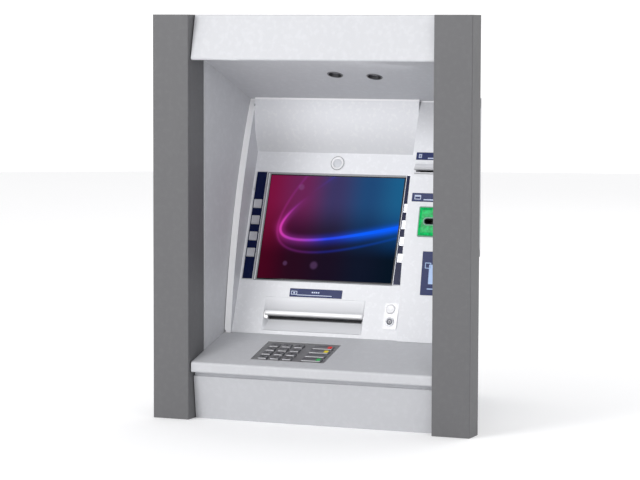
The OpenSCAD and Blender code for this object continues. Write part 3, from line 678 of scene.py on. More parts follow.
def soften(mesh, width, spare=None):
    """Rounds the sharp edges, but not those that spare picks, and marks where paint wears."""
    mark = mesh.verts.layers.float.new("edge")
    low, high = ([pick(v.co[i] for v in mesh.verts) for i in range(3)] for pick in (min, max))
    limit = math.radians(24)
    sharp = [e for e in mesh.edges if len(e.link_faces) == 2 and e.calc_face_angle() > limit]
    if spare:
        sharp = [edge for edge in sharp if not spare(edge)]
    made = bmesh.ops.bevel(
        mesh, geom=sharp, offset=width * MM, segments=2, profile=0.5, affect="EDGES",
        clamp_overlap=False, loop_slide=True,
    )
    for vert in made["verts"]:
        vert[mark] = 1
    for vert in mesh.verts:
        vert.co = [min(max(c, low[i]), high[i]) for i, c in enumerate(vert.co)]


def softened(node, material, width):
    """The CAD node's own shape with rounded edges."""
    mesh = cad_shape(node)
    soften(mesh, width)
    finished(f"{node}_shell", mesh, material, node)


def paint_shade(mesh, place, rule):
    """Gives each vertex a painted shade, by rule, from its place in the axes of place."""
    shade = mesh.verts.layers.float.new("shade")
    back = place.inverted()
    for vert in mesh.verts:
        vert[shade] = rule(back @ vert.co)


def screw(mesh, place, x, z, radius):
    """A pan-head screw with a hexagon socket, in the mesh's second material."""
    turns = [math.tau * i / 24 for i in range(24)]
    profile = [(radius, 0), (radius, -0.6), (radius * 0.8, -1.5), (radius * 0.55, -1.7)]
    rings = [[place @ Vector((a, y, b)) for a, b in circle(x, z, r, 24)] for r, y in profile]
    sixth = math.tau / 6
    flat = radius * 0.42 * math.cos(sixth / 2)
    across = [flat / math.cos(a % sixth - sixth / 2) for a in turns]
    for y in (-1.7, -0.5):
        rings.append([
            place @ Vector((x + r * math.cos(a), y, z + r * math.sin(a)))
            for a, r in zip(turns, across)
        ])
    loft(mesh, rings, 1)


def screw_circle(mesh, place, x, z, reach, count, start, radius):
    """Screws in a circle about x and z, the first one at start degrees."""
    for turn in range(count):
        angle = math.radians(start + 360 * turn / count)
        screw(mesh, place, x + reach * math.cos(angle), z + reach * math.sin(angle), radius)


def ring(mesh, place, x, z, inner, outer, proud, material):
    """A flat ring with soft edges."""
    lathe(mesh, place, x, z, [
        (inner, 0.3), (inner, 0.4 - proud), (inner + 0.5, -proud), (outer - 0.6, -proud),
        (outer, 0.5 - proud), (outer, 0.3),
    ], material, "joined")


def border(mesh, place, box, width, proud):
    """A raised border with sloping sides."""
    x0, z0, x1, z1 = box
    rows = [(0, 0.3), (0, 0), (1, -proud), (width - 1, -proud), (width, 0), (width, 0.3)]
    levels = [(x0 + i, z0 + i, x1 - i, z1 - i, 8 - i * 0.3, y) for i, y in rows]
    plates(mesh, place, levels, ends="joined", steps=6)


def legend(text, size):
    """The built-in font's outline of a digit, centred, as a mesh in millimetres."""
    curve = bpy.data.curves.new("legend", "FONT")
    curve.body = text
    curve.size = size
    curve.extrude = 0.12
    curve.align_x = "CENTER"
    curve.align_y = "CENTER"
    holder = bpy.data.objects.new("legend", curve)
    bpy.context.scene.collection.objects.link(holder)
    graph = bpy.context.evaluated_depsgraph_get()
    data = bpy.data.meshes.new_from_object(holder.evaluated_get(graph))
    bpy.data.objects.remove(holder)
    bpy.data.curves.remove(curve)
    return data


# ---- Surround and recess ----

def make_surround():
    softened("left_pillar", PILLAR, 0.6)
    softened("right_pillar", PILLAR, 0.6)
    softened("header_panel", HEADER, 0.8)
    softened("recess_liner", LINER, 0.4)
    softened("kick_panel", KICK, 0.5)
    softened("shelf", SHELF, 0.5)


def make_kick_return():
    """The kick panel's top is folded back under the shelf's nose, in a grey that paints the shade
    there.
    """
    low, high = span("kick_panel", PLAIN)
    y, z = low.y + 5.2, high.z
    mesh = bmesh.new()
    beam(mesh, PLAIN, [
        (y, z - 1.5), (y + 1.4, z - 1.5), (y + 1.4, z + 6.6), (y + 6, z + 6.6), (y + 6, z + 7.8),
        (y + 0.5, z + 7.8), (y, z + 7.3),
    ], [low.x + 0.5, high.x - 0.5])
    fitting("kick_panel_return", mesh, SHADED_RETURN, "kick_panel")


def make_downlights():
    """Each lamp is a rim, a cup behind it, and a lens in the cup."""
    mesh = bmesh.new()
    for points in solids("downlights"):
        low, high = span(points, CEILING)
        x, z = middle(low, high)
        r = (high.x - low.x) / 2
        lathe(mesh, CEILING, x, z, [
            (r, 0), (r, -0.7), (r - 0.6, -1.4), (r - 2, -1.5), (r - 3, -1), (r - 3.6, 3),
            (r - 5, 7), (r - 5, high.y), (r - 2, high.y), (r - 2, 0),
        ], [0, 0, 0, 0, 1, 1, 1, 0, 0], "open")
        lathe(mesh, CEILING, x, z, [(r - 4.7, 6), (r - 5.4, 5), (r - 8, 3.9), (1, 3.4)], 2)
    rim = moulded("lamp_rim", (96, 96, 99), 0.4)
    cup = metal("lamp_cup", (84, 84, 87), 0.35)
    lens = glossy("lamp_lens", (120, 120, 124))
    finished("downlight_rings", mesh, [rim, cup, lens], "downlights")


# ---- Fascia ----

def make_fascia():
    """The fascia's belly gets painted light and shade, its left trim a whiter plastic, and the sides
    leading to its face painted shade.
    """
    mesh = cad_shape("main_fascia")
    soften(mesh, 0.5)
    belly_z = span("softkey_strips", SLOPE)[1].z + 45
    back = SLOPE.inverted()
    for face in mesh.faces:
        place = face.calc_center_median()
        if place.x / MM < FACE_LEFT:
            # Left faces that turn to the right get the painted shade grey; those facing the front get
            # the trim.
            face.material_index = 3 if face.normal.x > 0.6 else 2 * (face.normal.y < -0.5)
        elif (back @ place).z > belly_z and face.normal.y < -0.3:
            face.material_index = 1
    finished("main_fascia_shell", mesh, [FASCIA, BELLY_LIGHT_AND_SHADE, TRIM, SHADED_RETURN], "main_fascia")


def make_side_column():
    """The side column keeps square edges round the receipt slot's hole, which the lip covers."""
    low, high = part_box("receipt_lip")
    reach = 8 * MM

    def at_lip(edge):
        return all(
            low[i] - reach < vert.co[i] < high[i] + reach for vert in edge.verts for i in range(3)
        )

    mesh = cad_shape("side_column")
    soften(mesh, 0.5, spare=at_lip)
    finished("side_column_shell", mesh, COLUMN, "side_column")


def ceiling_z(y):
    """How high the ceiling's sheet is at depth y."""
    lean = CEILING.to_3x3() @ Vector((0, 1, 0))
    away = y * MM - CEILING.translation.y
    return (CEILING.translation.z - away * lean.y / lean.z) / MM - 0.1


def make_beads():
    """Thin beads close the gaps on the fascia's left and between the fascia and the ceiling."""
    fascia_low, fascia_high = span("main_fascia", PLAIN)
    wall_low, wall_high = span("recess_liner", PLAIN)
    mesh = bmesh.new()
    x, top = fascia_low.x, fascia_high.z
    left = (
        (x - 2.2, 2, 0), (x - 2.2, 0, 0), (x - 1.2, -0.8, 0), (x + 0.6, -0.3, 0), (x + 0.6, 2, 0)
    )
    heights = steps_between(fascia_low.z + 6, top - 1, 24)
    loft(mesh, [[column(z) @ Vector(point) for point in left] for z in heights])

    y = column(top).translation.y / MM
    right = span("side_column", PLAIN)[1].x
    beam(mesh, PLAIN, [
        (y + 5, top - 2.2), (y + 0.4, top - 2.2), (y - 1, top - 1.4), (y - 1.2, top - 0.2),
        (y - 1.2, ceiling_z(y - 1.2)), (y + 5, ceiling_z(y + 5)),
    ], [max(x, wall_low.x + 4), min(right, wall_high.x - 4)])

    y = min(
        point.y / MM for points in solids("main_fascia") for point in points
        if point.z / MM > top - 1 and point.x / MM > FACE_LEFT
    )
    beam(mesh, PLAIN, [
        (y + 9, top - 1), (y + 1, top - 0.2), (y - 0.2, top), (y - 0.8, top + 0.8),
        (y - 0.8, ceiling_z(y - 0.8)), (y + 9, ceiling_z(y + 9)),
    ], [FACE_LEFT, fascia_high.x + 0.6])
    fitting("fascia_beads", mesh, TRIM, "main_fascia")


def make_screen():
    """The display panel: a rim of dark glass round the lit picture."""
    rim = 3.9
    low, high = span("display_glass", SLOPE)
    top = low.y
    mesh = bmesh.new()
    pad(mesh, SLOPE, box_of(low, high), 1.5, [
        (0, high.y), (0, top + 0.4), (0.4, top), (rim - 0.3, top)])
    finished("display_rim", mesh, glossy("display_rim", (26, 26, 30), 0.12), "display_glass")

    mesh = bmesh.new()
    uv = mesh.loops.layers.uv.new("picture")
    x0, z0, x1, z1 = box_of(low, high, rim)
    pad(mesh, SLOPE, (x0, z0, x1, z1), 0.4, [(0, top + 0.1), (0, top - 0.1), (0.1, top - 0.15)])
    back = SLOPE.inverted()
    for face in mesh.faces:
        for corner in face.loops:
            local = back @ corner.vert.co
            corner[uv].uv = ((local.x - x0) / (x1 - x0), (local.z - z0) / (z1 - z0))
    fitting("display_picture", mesh, screen_picture("display_picture"), "display_glass")


def make_screen_surround():
    """A sloping surround leads from the fascia's face down to the glass, its grey a painted shade."""
    x0, z0, x1, z1 = box_of(*span("display_glass", SLOPE))
    outer = (x0 - 5, z0 - 1.6, x1 + 0.2, z1 + 2.4)
    inner = (x0 + 2.6, z0 + 1.2, x1 - 1, z1 - 1.6)
    mesh = bmesh.new()
    plates(mesh, SLOPE, [
        (*outer, 2.5, 0.05), (*outer, 2.5, -0.25),
        (x0 - 4.4, z0 - 1.2, x1 + 0.1, z1 + 1.9, 2.2, -0.35),
        (*inner, 1, 0.7), (*inner, 1, 0.8),
    ], ends="joined")
    grey = moulded("surround_grey", (140, 142, 146), 0.4)
    fitting("display_surround", mesh, grey, "main_fascia")


def make_strips():
    """Navy strips with a satin rim round each."""
    mesh = cad_shape("softkey_strips")
    soften(mesh, 0.35)
    finished("softkey_strips_body", mesh, NAVY, "softkey_strips")
    mesh = bmesh.new()
    for points in solids("softkey_strips"):
        low, high = span(points, SLOPE)
        plates(mesh, SLOPE, [
            (*box_of(low, high, inset), radius, depth) for inset, radius, depth in (
                (-0.25, 1.2, 0), (-0.25, 1.2, low.y - 0.2), (0.1, 1, low.y - 0.4),
                (0.9, 0.5, low.y - 0.3), (0.9, 0.5, low.y + 0.2))
        ], ends="joined")
    fitting("softkey_strip_rims", mesh, SOFTKEY, "softkey_strips")


def make_softkeys():
    """Square keys with a raised rim and a slightly sunk face."""
    for side in "lr":
        for number in range(1, 5):
            node = f"softkey_{side}{number}"
            low, high = span(node, SLOPE)
            top = low.y
            mesh = bmesh.new()
            pad(mesh, SLOPE, box_of(low, high), 1.4, [
                (0, high.y), (0, top + 0.9), (0.35, top + 0.25), (0.9, top), (1.9, top),
                (2.6, top + 0.3), (4.5, top + 0.45),
            ])
            finished(f"{node}_cap", mesh, SOFTKEY, node)


def make_camera_window():
    """A stepped ring round a shallow lens, with painted shade in the ring's groove."""
    low, high = span("camera_window", SLOPE)
    x, z = middle(low, high)
    r = (high.x - low.x) / 2
    mesh = bmesh.new()
    lathe(mesh, SLOPE, x, z, [
        (r - 4, high.y), (r - 4, 0), (r, 0), (r, -0.8), (r - 0.5, -1.2), (r - 1.1, -1.1),
        (r - 1.4, -0.3), (r - 2.3, -0.3), (r - 2.6, -1.5), (r - 3.2, -2), (r - 6, -2),
        (r - 6.8, -1.6), (r - 7.4, 0), (r - 7.4, 2), (1, 2),
    ], [0, 0, 0, 0, 0, 1, 1, 1, 0, 0, 0, 0, 0, 0])
    grey = moulded("ring_groove", (150, 152, 156), 0.5)
    finished("camera_window_ring", mesh, [WHITE, grey], "camera_window")
    mesh = bmesh.new()
    lathe(mesh, SLOPE, x, z, [
        (r - 7.5, 1.9), (r - 7.5, 0.2), (r - 8.2, -0.4), (r - 11, -0.9), (1, -1.1)])
    lens = glossy("lens_grey", (206, 208, 213), 0.1)
    fitting("camera_window_lens", mesh, lens, "camera_window")


# ---- Cash slot ----

SCOOP_LOW, SCOOP_HIGH = span("cash_bezel", SLOPE)
MOUTH_Z = SCOOP_LOW.z + 27.1
MOUTH_TOP = SCOOP_LOW.z + 34.1
BAR_Z = SCOOP_LOW.z + 40


def cheek(x, width):
    """Goes from 0 at the scoop's sides to 1 at width from them."""
    return smooth(min(x - SCOOP_LOW.x, SCOOP_HIGH.x - x) / width)


def upper_scoop(x, z):
    return 6.2 * smooth((SCOOP_HIGH.z - z) / (SCOOP_HIGH.z - BAR_Z)) * cheek(x, 4) - 0.35


def lower_scoop(x, z):
    share = min((z - SCOOP_LOW.z) / (MOUTH_Z - SCOOP_LOW.z), 1)
    return 14.4 * (1 - (1 - share) ** 1.8) * cheek(x, 7) - 0.35


def scoop_shade(point):
    """Painted shade: both halves of the scoop get darker towards the bar, and less so at the cheeks.
    """
    if point.z > BAR_Z:
        drop, depth = (SCOOP_HIGH.z - point.z) / (SCOOP_HIGH.z - BAR_Z), 0.32
    else:
        drop, depth = (point.z - SCOOP_LOW.z) / (BAR_Z - SCOOP_LOW.z), 0.62
    return depth * min(max(drop, 0), 1) ** 1.6 * (0.35 + 0.65 * cheek(point.x, 5))


def make_scoop():
    x0, x1, z0 = SCOOP_LOW.x, SCOOP_HIGH.x, SCOOP_LOW.z
    xs = from_ends(x0, x1, [0, 0.6, 1.5, 3, 4.5, 6, 7.5, 9])
    mesh = bmesh.new()
    upper = [BAR_Z] + steps_between(BAR_Z + 3, SCOOP_HIGH.z, 12)
    shell(mesh, SLOPE, xs, upper, upper_scoop, 2.5)
    shell(mesh, SLOPE, xs, steps_between(z0, MOUTH_Z, 14), lower_scoop, 2.5)
    paint_shade(mesh, SLOPE, scoop_shade)
    finished("cash_bezel_scoop", mesh, FASCIA, "cash_bezel", sharp=50)


def make_slot_bar():
    """A bright bar with a round nose and round ends, over the mouth."""
    low, high, z = SCOOP_LOW.x + 3.2, SCOOP_HIGH.x - 0.4, SCOOP_LOW.z
    nose = [
        (-5 + 2.9 * (1 - math.sin(a)), z + 37.2 + 5.4 * math.cos(a))
        for a in steps_between(0.1, math.pi - 0.1, 12)
    ]
    tail = [(4, MOUTH_TOP), (19, MOUTH_TOP), (19, z + 37.6), (9, z + 39.4), (3, z + 41.6)]
    mesh = bmesh.new()
    xs = from_ends(low, high, [0, 0.25, 0.7, 1.4, 2.4, 3.8])
    beam(mesh, SLOPE, nose + tail, xs, lambda x: rounded_end(x, low, high, 3.8, 0.15))

    # Painted shade under the bar's nose and over its top.
    def bar_shade(point):
        return 0.5 * smooth((z + 36.4 - point.z) / 4) + 0.25 * smooth((point.z - BAR_Z) / 3)

    paint_shade(mesh, SLOPE, bar_shade)
    bar_white = moulded("bar_white", (250, 250, 252), 0.25, coat=0.4)
    fitting("cash_bezel_bar", mesh, bar_white, "cash_bezel", sharp=50)


def make_mouth():
    """A frame inside the scoop leads to the shutter."""
    x0, x1 = SCOOP_LOW.x, SCOOP_HIGH.x
    inner = (x0 + 7, MOUTH_Z + 0.2, x1 - 7, MOUTH_TOP - 0.1)
    outer = (x0 + 3.5, MOUTH_Z - 3, x1 - 3.5, MOUTH_TOP + 3)
    mesh = bmesh.new()
    plates(mesh, SLOPE, [
        (*inner, 0.8, 13.4), (*inner, 0.8, 18.9), (*outer, 1, 18.9), (*outer, 1, 14.6),
    ], ends="joined")
    fitting("cash_bezel_mouth", mesh, moulded("mouth_grey", (128, 128, 132), 0.6), "cash_bezel")
    softened("cash_shutter", DARK, 0.3)


# ---- Labels ----

PRINT = -1.12


def outline_box(mesh, place, box, radius, line):
    """A printed outline, a fraction of a millimetre proud."""
    x0, z0, x1, z1 = box
    inner = (x0 + line, z0 + line, x1 - line, z1 - line)
    plates(mesh, place, [
        (*box, radius, 0), (*box, radius, PRINT), (*inner, radius * 0.5, PRINT),
        (*inner, radius * 0.5, 0),
    ], 1, "joined")


def printed(mesh, place, box):
    pad(mesh, place, box, 0.3, [(0, 0), (0, PRINT + 0.04), (0.05, PRINT)], 1, steps=2)


def label_body(mesh, place, low, high):
    pad(mesh, place, box_of(low, high), 1, [
        (0, high.y), (0, low.y + 0.35), (0.3, low.y + 0.05), (0.7, low.y)])


def note_icon(mesh, place, x, z, size):
    """A banknote with a round centre."""
    outline_box(mesh, place, (x, z, x + 1.7 * size, z + size), 0.4, size * 0.16)
    lathe(mesh, place, x + 0.85 * size, z + size / 2, [
        (size * 0.24, 0), (size * 0.24, PRINT + 0.04), (size * 0.2, PRINT)], 1, steps=20)


def sheet_icon(mesh, place, x, z, size):
    """A paper slip with two lines."""
    outline_box(mesh, place, (x, z, x + 0.75 * size, z + size), 0.3, size * 0.14)
    for share in (0.35, 0.62):
        line = (x + 0.22 * size, z + share * size, x + 0.55 * size, z + (share + 0.1) * size)
        printed(mesh, place, line)


def card_icon(mesh, place, x, z, size):
    """A card with a stripe."""
    outline_box(mesh, place, (x, z, x + 1.5 * size, z + size), 0.6, size * 0.14)
    printed(mesh, place, (x, z + 0.62 * size, x + 1.5 * size, z + 0.84 * size))


def make_cash_label(points):
    """A note, a row of dashes and a line."""
    place = axes(20, points, 1)
    low, high = span(points, place)
    mesh = bmesh.new()
    label_body(mesh, place, low, high)
    note_icon(mesh, place, low.x + 3.5, 4.6, 8)
    printed(mesh, place, (low.x + 17, 3.6, low.x + 96, 5))
    for i in range(4):
        x = low.x + 50 + 4.6 * i
        printed(mesh, place, (x, 9.2, x + 3.4, 12.2))
    finished("cash_label", mesh, [LABEL, MARK], "label_plates")


def make_slot_label(name, points, icon):
    """An icon and a line."""
    place = on_column(points)
    low, high = span(points, place)
    tall = high.z - low.z
    mesh = bmesh.new()
    label_body(mesh, place, low, high)
    icon(mesh, place, low.x + 6, tall * 0.24, tall * 0.52)
    printed(mesh, place, (low.x + 26, tall * 0.16, high.x - 6, tall * 0.28))
    fitting(f"{name}_label", mesh, [LABEL, MARK], "label_plates")


def make_info_label(points):
    """A pale panel with a small outline at its corner, and a line under it."""
    place = on_column(points)
    low, high = span(points, place)
    mesh = bmesh.new()
    label_body(mesh, place, low, high)
    outline_box(mesh, place, (low.x + 7, 55, low.x + 20, 67), 0.8, 1.4)
    printed(mesh, place, (low.x + 16, 23, high.x - 8, 63))
    printed(mesh, place, (low.x + 14, 12, high.x - 10, 14))
    fitting("info_label", mesh, [LABEL, SKY], "label_plates")


def make_labels():
    """From low to high the plates are the cash, info, card and receipt labels."""
    cash, info, card, receipt = sorted(
        solids("label_plates"), key=lambda points: sum(p.z for p in points) / len(points)
    )
    make_cash_label(cash)
    make_slot_label("receipt", receipt, sheet_icon)
    make_slot_label("card", card, card_icon)
    make_info_label(info)


# ---- Audio socket and button ----

def make_audio():
    """A round button over a socket with a ring round it."""
    softened("audio_plate", WHITE, 0.45)
    low, high = span("volume_button", SLOPE)
    x, z = middle(low, high)
    r = (high.x - low.x) / 2
    top = low.y
    mesh = bmesh.new()
    lathe(mesh, SLOPE, x, z, [
        (r, high.y), (r, top + 1.8), (r - 0.5, top + 0.9), (r - 1.6, top + 0.2),
        (r - 2.6, top), (r - 4, top + 0.25), (2, top + 0.6),
    ])
    finished("volume_button_cap", mesh, WHITE, "volume_button")

    r = 9.1
    mesh = bmesh.new()
    lathe(mesh, SLOPE, x + 1.7, z - 27.1, [
        (r, -3), (r, -3.5), (r - 0.5, -3.9), (r - 2.2, -4), (r - 2.8, -3.5), (r - 5, -3.3),
        (3, -3.3), (2.5, -3.2), (1.9, -2.8), (1.9, 0), (2.3, 0),
    ], [0, 0, 0, 0, 1, 1, 0, 0, 1, 1, 1], "joined")
    grey = metal("socket_grey", (150, 151, 155), 0.35)
    fitting("audio_socket", mesh, [grey, metal("socket_dark", (84, 85, 90), 0.4)], "audio_plate")


# ---- Receipt and card ----

RECEIPT = column(509)
CARD = column((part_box("card_bezel")[0].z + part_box("card_bezel")[1].z) / 2 / MM)


def make_receipt_lip():
    """A rounded hood over the slot and a thin lip under it."""
    low, high = span("receipt_lip", PLAIN)
    x0, x1 = low.x, high.x
    xs = from_ends(x0, x1, [0, 0.2, 0.5, 1, 1.8, 3])

    def stand_out(x):
        return rounded_end(x, x0, x1, 3, 0.75)

    hood = [
        (-8 * math.sin(a) ** 0.8, 2.6 + 12.2 * math.cos(a))
        for a in steps_between(0.08, math.pi / 2, 10)
    ]
    mesh = bmesh.new()
    beam(mesh, RECEIPT, hood + [(-7.4, 2.55), (-2, 2.5), (3, 2.5), (3, 14)], xs, stand_out)
    beam(mesh, RECEIPT, [
        (3, -5.8), (-0.4, -5.8), (-3, -5.4), (-3.9, -4.4), (-4.1, -3.4), (-3.7, -2.6), (3, -2.5),
    ], xs, stand_out)

    # Painted shade on the hood's lower part and under the lip.
    def lip_shade(point):
        if point.z > 0:
            return 0.34 * smooth((12 - point.z) / 9)
        return 0.45 * smooth((-3.4 - point.z) / 2)

    paint_shade(mesh, RECEIPT, lip_shade)
    finished("receipt_lip_hood", mesh, FASCIA, "receipt_lip")


def make_receipt_mouth():
    """A dark frame between the hood and the lip."""
    low, high = span("receipt_lip", PLAIN)
    slot = (low.x + 12, -2.6, high.x - 15, 2.6, 0.5)
    mesh = bmesh.new()
    plates(mesh, RECEIPT, [
        (*slot, -0.5), (*slot, 12),
        (low.x + 9, -4.5, high.x - 8, 4.5, 0.5, 12), (low.x + 3, -4.5, high.x - 3, 4.5, 0.5, -0.5),
    ], ends="joined")
    fitting("receipt_lip_mouth", mesh, moulded("slot_grey", (70, 70, 74), 0.6), "receipt_lip")


def make_receipt_printer():
    softened("receipt_printer", DARK, 0.4)
    softened("paper_roll", PAPER, 0.2)


def in_card(inset):
    """The card bezel's outline, made smaller all round by inset."""
    low, high = span("card_bezel", CARD)
    half = (high.z - low.z) / 2 - 0.2
    return low.x + inset, inset - half, high.x - inset, half - inset


def make_card_trim():
    outer, inner = (*in_card(0), 2.5), (*in_card(2.2), 1.6)
    mesh = bmesh.new()
    plates(mesh, CARD, [
        (*outer, 0.2), (*outer, -1.6), (*in_card(0.5), 2.2, -2.1), (*inner, -2.1), (*inner, 0.2),
    ], ends="joined")
    finished("card_bezel_trim", mesh, moulded("card_trim", (110, 150, 134), 0.5), "card_bezel")


def make_card_bezel():
    """A lit green moulding inside the trim, with a dark mouth."""
    low, high = span("card_bezel", CARD)
    front = low.y + 0.3
    left, right = low.x + 20.5, high.x - 12
    outer, slot = (*in_card(2.2), 1.6), (left, -2.5, right, 2.5, 0.6)
    mesh = bmesh.new()
    plates(mesh, CARD, [
        (*outer, 0.4), (*outer, -2.4), (*in_card(3.2), 3, -5),
        (*in_card(6), 4, front + 0.6), (*in_card(9), 4, front),
        (left - 8, -8.6, right + 6, 8.6, 8, front),
        (left - 7, -7.6, right + 5, 7.6, 7.4, front - 0.2),
        (left - 5.5, -6, right + 3.5, 6, 6, front + 0.4),
        (left - 4, -4.6, right + 2, 4.6, 4.6, front + 3),
        (*slot, 2), (*slot, 14), (left - 4, -8, right + 4, 8, 1, 14),
    ], [0, 0, 0, 0, 0, 1, 1, 2, 2, 2, 2, 0], "joined")
    lamps = [CARD @ Vector((low.x + 22 + 17 * i, -1, z)) for i in range(4) for z in (-17, 17)]
    green = lit_green("card_green", lamps)
    rim = moulded("card_rim", (104, 150, 130), 0.35)
    fitting("card_bezel_body", mesh, [green, rim, BLACK], "card_bezel")


def make_card_reader():
    softened("card_shutter", DARK, 0.3)
    softened("card_reader", ZINC, 0.4)


# ---- Keypad ----

def key_body(mesh, low, high):
    """A tapered cap with a soft edge and a dished top."""
    top = low.y
    pad(mesh, PAD, box_of(low, high), 1.4, [
        (0, high.y), (0, top + 2.2), (0.25, top + 1.2), (0.7, top + 0.4), (1.3, top),
        (2.2, top + 0.05), (3.6, top + 0.28), (5.4, top + 0.4),
    ])


def key_cap(name):
    """A key with its digit or sign in its dished top."""
    node = f"key_{name}"
    low, high = span(node, PAD)
    mesh = bmesh.new()
    key_body(mesh, low, high)
    drawn = legend({"star": "*", "hash": "#"}.get(name, name), 9)
    x, z = middle(low, high)
    if name == "star":
        z -= 2
    drawn.transform(
        PAD @ Matrix.Translation((x, low.y + 0.36, z)) @ Matrix.Rotation(math.pi / 2, 4, "X")
    )
    before = len(mesh.faces)
    mesh.from_mesh(drawn)
    mesh.faces.ensure_lookup_table()
    for face in mesh.faces[before:]:
        face.material_index = 1
    bpy.data.meshes.remove(drawn)
    finished(f"{node}_cap", mesh, [KEY, DARK], node)


def function_cap(name, colour):
    """A wide key with a coloured inlay at its right end."""
    node = f"key_{name}"
    low, high = span(node, PAD)
    top = low.y
    mesh = bmesh.new()
    key_body(mesh, low, high)
    materials = [KEY]
    if colour:
        box = (high.x - 11, low.z + 2.4, high.x - 2.2, high.z - 2.4)
        levels = [(0, top + 1), (0, top - 0.02), (0.4, top - 0.12), (1.4, top - 0.05)]
        pad(mesh, PAD, box, 1.6, levels, 1)
        # The inlays get a faint painted glow, though no lamp lights them.
        materials.append(glossy(f"inlay_{name}", colour, 0.3, glow=0.12))
    finished(f"{node}_cap", mesh, materials, node)


def make_keypad():
    softened("keypad_frame", STEEL, 0.3)
    for name in DIGITS:
        key_cap(name)
    inlays = {"cancel": (214, 38, 34), "clear": (222, 200, 40), "blank": None, "enter": (40, 170, 84)}
    for name, colour in inlays.items():
        function_cap(name, colour)


# ---- Safe ----

BOSS = [(0, 0.3), (0, -0.5), (0.4, -0.8)]
RIB = [(0, 0.3), (0, -1), (1, -1.8)]
INK = [(0, 0), (0, -1.05), (0.1, -1.1)]


def make_safe():
    softened("safe_body", SAFE, 1.2)
    softened("safe_door", SAFE, 1.0)
    softened("safe_handle", painted("handle_enamel", (24, 24, 26), 0.35, worn=0.6), 1.2)
    softened("lock_bolts", BRIGHT, 0.5)
    softened("hinge_pins", BRIGHT, 0.3)


def make_safe_door_fittings():
    """A pressed border, a hub ring behind the handle, corner screws and a label without words."""
    low, high = span("safe_door", PLAIN)
    hub_low, hub_high = span("safe_handle", PLAIN)
    place = facing_back(high.y)
    left, right = -high.x, -low.x
    mesh = bmesh.new()
    border(mesh, place, (left + 18, low.z + 18, right - 30, high.z - 18), 9, 1.4)
    hub_x, hub_z = 13 - hub_high.x, (hub_low.z + hub_high.z) / 2
    ring(mesh, place, hub_x, hub_z, 18.5, 27, 2.2, 1)
    screw_circle(mesh, place, hub_x, hub_z, 22.8, 4, 45, 1.7)
    for x in (left + 12, right - 22):
        for z in (low.z + 9, high.z - 9):
            screw(mesh, place, x, z, 3.4)
    pad(mesh, place, (20, 236, 96, 270), 3, BOSS, 1)
    for z in (244, 251, 258):
        pad(mesh, place, (27, z, 77, z + 2), 0.5, INK, 2)
    fitting("safe_door_fittings", mesh, [SAFE, BRIGHT, DARK], "safe_door")


def make_cassette():
    """The cassette, with ribs, a latch and a label without words on its back."""
    softened("note_cassette", CASSETTE, 0.8)
    low, high = span("note_cassette", PLAIN)
    handle = 18
    place = facing_back(high.y - handle)
    mesh = bmesh.new()
    for i in range(3):
        for x in (8 - high.x + 12 * i, -low.x - 13 - 12 * i):
            pad(mesh, place, (x, low.z + 12, x + 5, low.z + 96), 2.4, RIB)
    x = -(low.x + high.x) / 2
    pad(mesh, place, (x - 40, low.z + 30, x + 40, low.z + 74), 2, [
        (0, 0.3), (0, -0.5), (0.5, -0.8)], 1)
    for z in (low.z + 40, low.z + 48, low.z + 60):
        pad(mesh, place, (x - 32, z, x + 20, z + 2.4), 0.5, INK, 2)
    lathe(mesh, place, x, high.z - 12, [
        (8, 0.3), (8, -1.6), (7.2, -2.4), (3.4, -2.4), (3, -1.6), (1, -1.6)], 3)
    fitting("note_cassette_fittings", mesh, [CASSETTE, WHITE, DARK, BRIGHT], "note_cassette")


def make_dispenser():
    """The stacker's rollers are rubber on steel shafts, between its side plates."""
    shafts = [(30 + 50 * i, z) for i in range(5) for z in (215, 260)]
    roller_radius, shaft_radius, plate_left, plate_right = 11.5, 5, -131, 0

    def off_shaft(point):
        """How far a point is from the nearest shaft's axis."""
        return min(math.hypot(point.y / MM - y, point.z / MM - z) for y, z in shafts)

    mesh = cad_shape("note_dispenser")
    for face in mesh.faces:
        place = face.calc_center_median()
        far = max(off_shaft(vert.co) for vert in face.verts)
        if far < roller_radius and plate_left < place.x / MM < plate_right:
            face.material_index = 1 if far > shaft_radius else 2
        elif off_shaft(place) < shaft_radius:
            face.material_index = 2
    soften(mesh, 0.35)
    rubber = moulded("roller_rubber", (30, 30, 31), 0.85, grain=700, relief=0.06)
    finished("note_dispenser_shell", mesh, [ZINC, rubber, BRIGHT], "note_dispenser")


# ---- Service cabinet ----

def make_cabinet():
    softened("service_cabinet", CABINET, 0.4)
    softened("cabinet_door", CABINET, 0.4)
    softened("cabinet_latch", BRIGHT, 0.3)
    softened("lcd_monitor", ZINC, 0.5)


def make_cabinet_fittings():
    """Screws along the top and the sides, two pressings, and a grommet ring for a cord."""
    low, high = span("service_cabinet", PLAIN)
    top = facing_up(high.z)
    right, left = facing_side(high.x - 17, 1), facing_side(low.x + 20.5, -1)
    mesh = bmesh.new()
    for z, xs in ((-208, (-228, -120, 0, 120, 228)), (155, (-228, -80, 70, 183))):
        for x in xs:
            screw(mesh, top, x, z, 3)
    for side, xs in ((right, (-20, 38)), (left, (20, -40, -150))):
        for x in xs:
            for z in (345, 460, 640):
                screw(mesh, side, x, z, 3)
    for x in (-150, -30):
        border(mesh, top, (x, -170, x + 90, 110), 6, 1.2)
    ring(mesh, top, 120, 130, 10.4, 16, 3, 2)
    screw_circle(mesh, top, 120, 130, 20.5, 6, 0, 1.6)
    fitting("service_cabinet_fittings", mesh, [CABINET, BRIGHT, DARK], "service_cabinet")


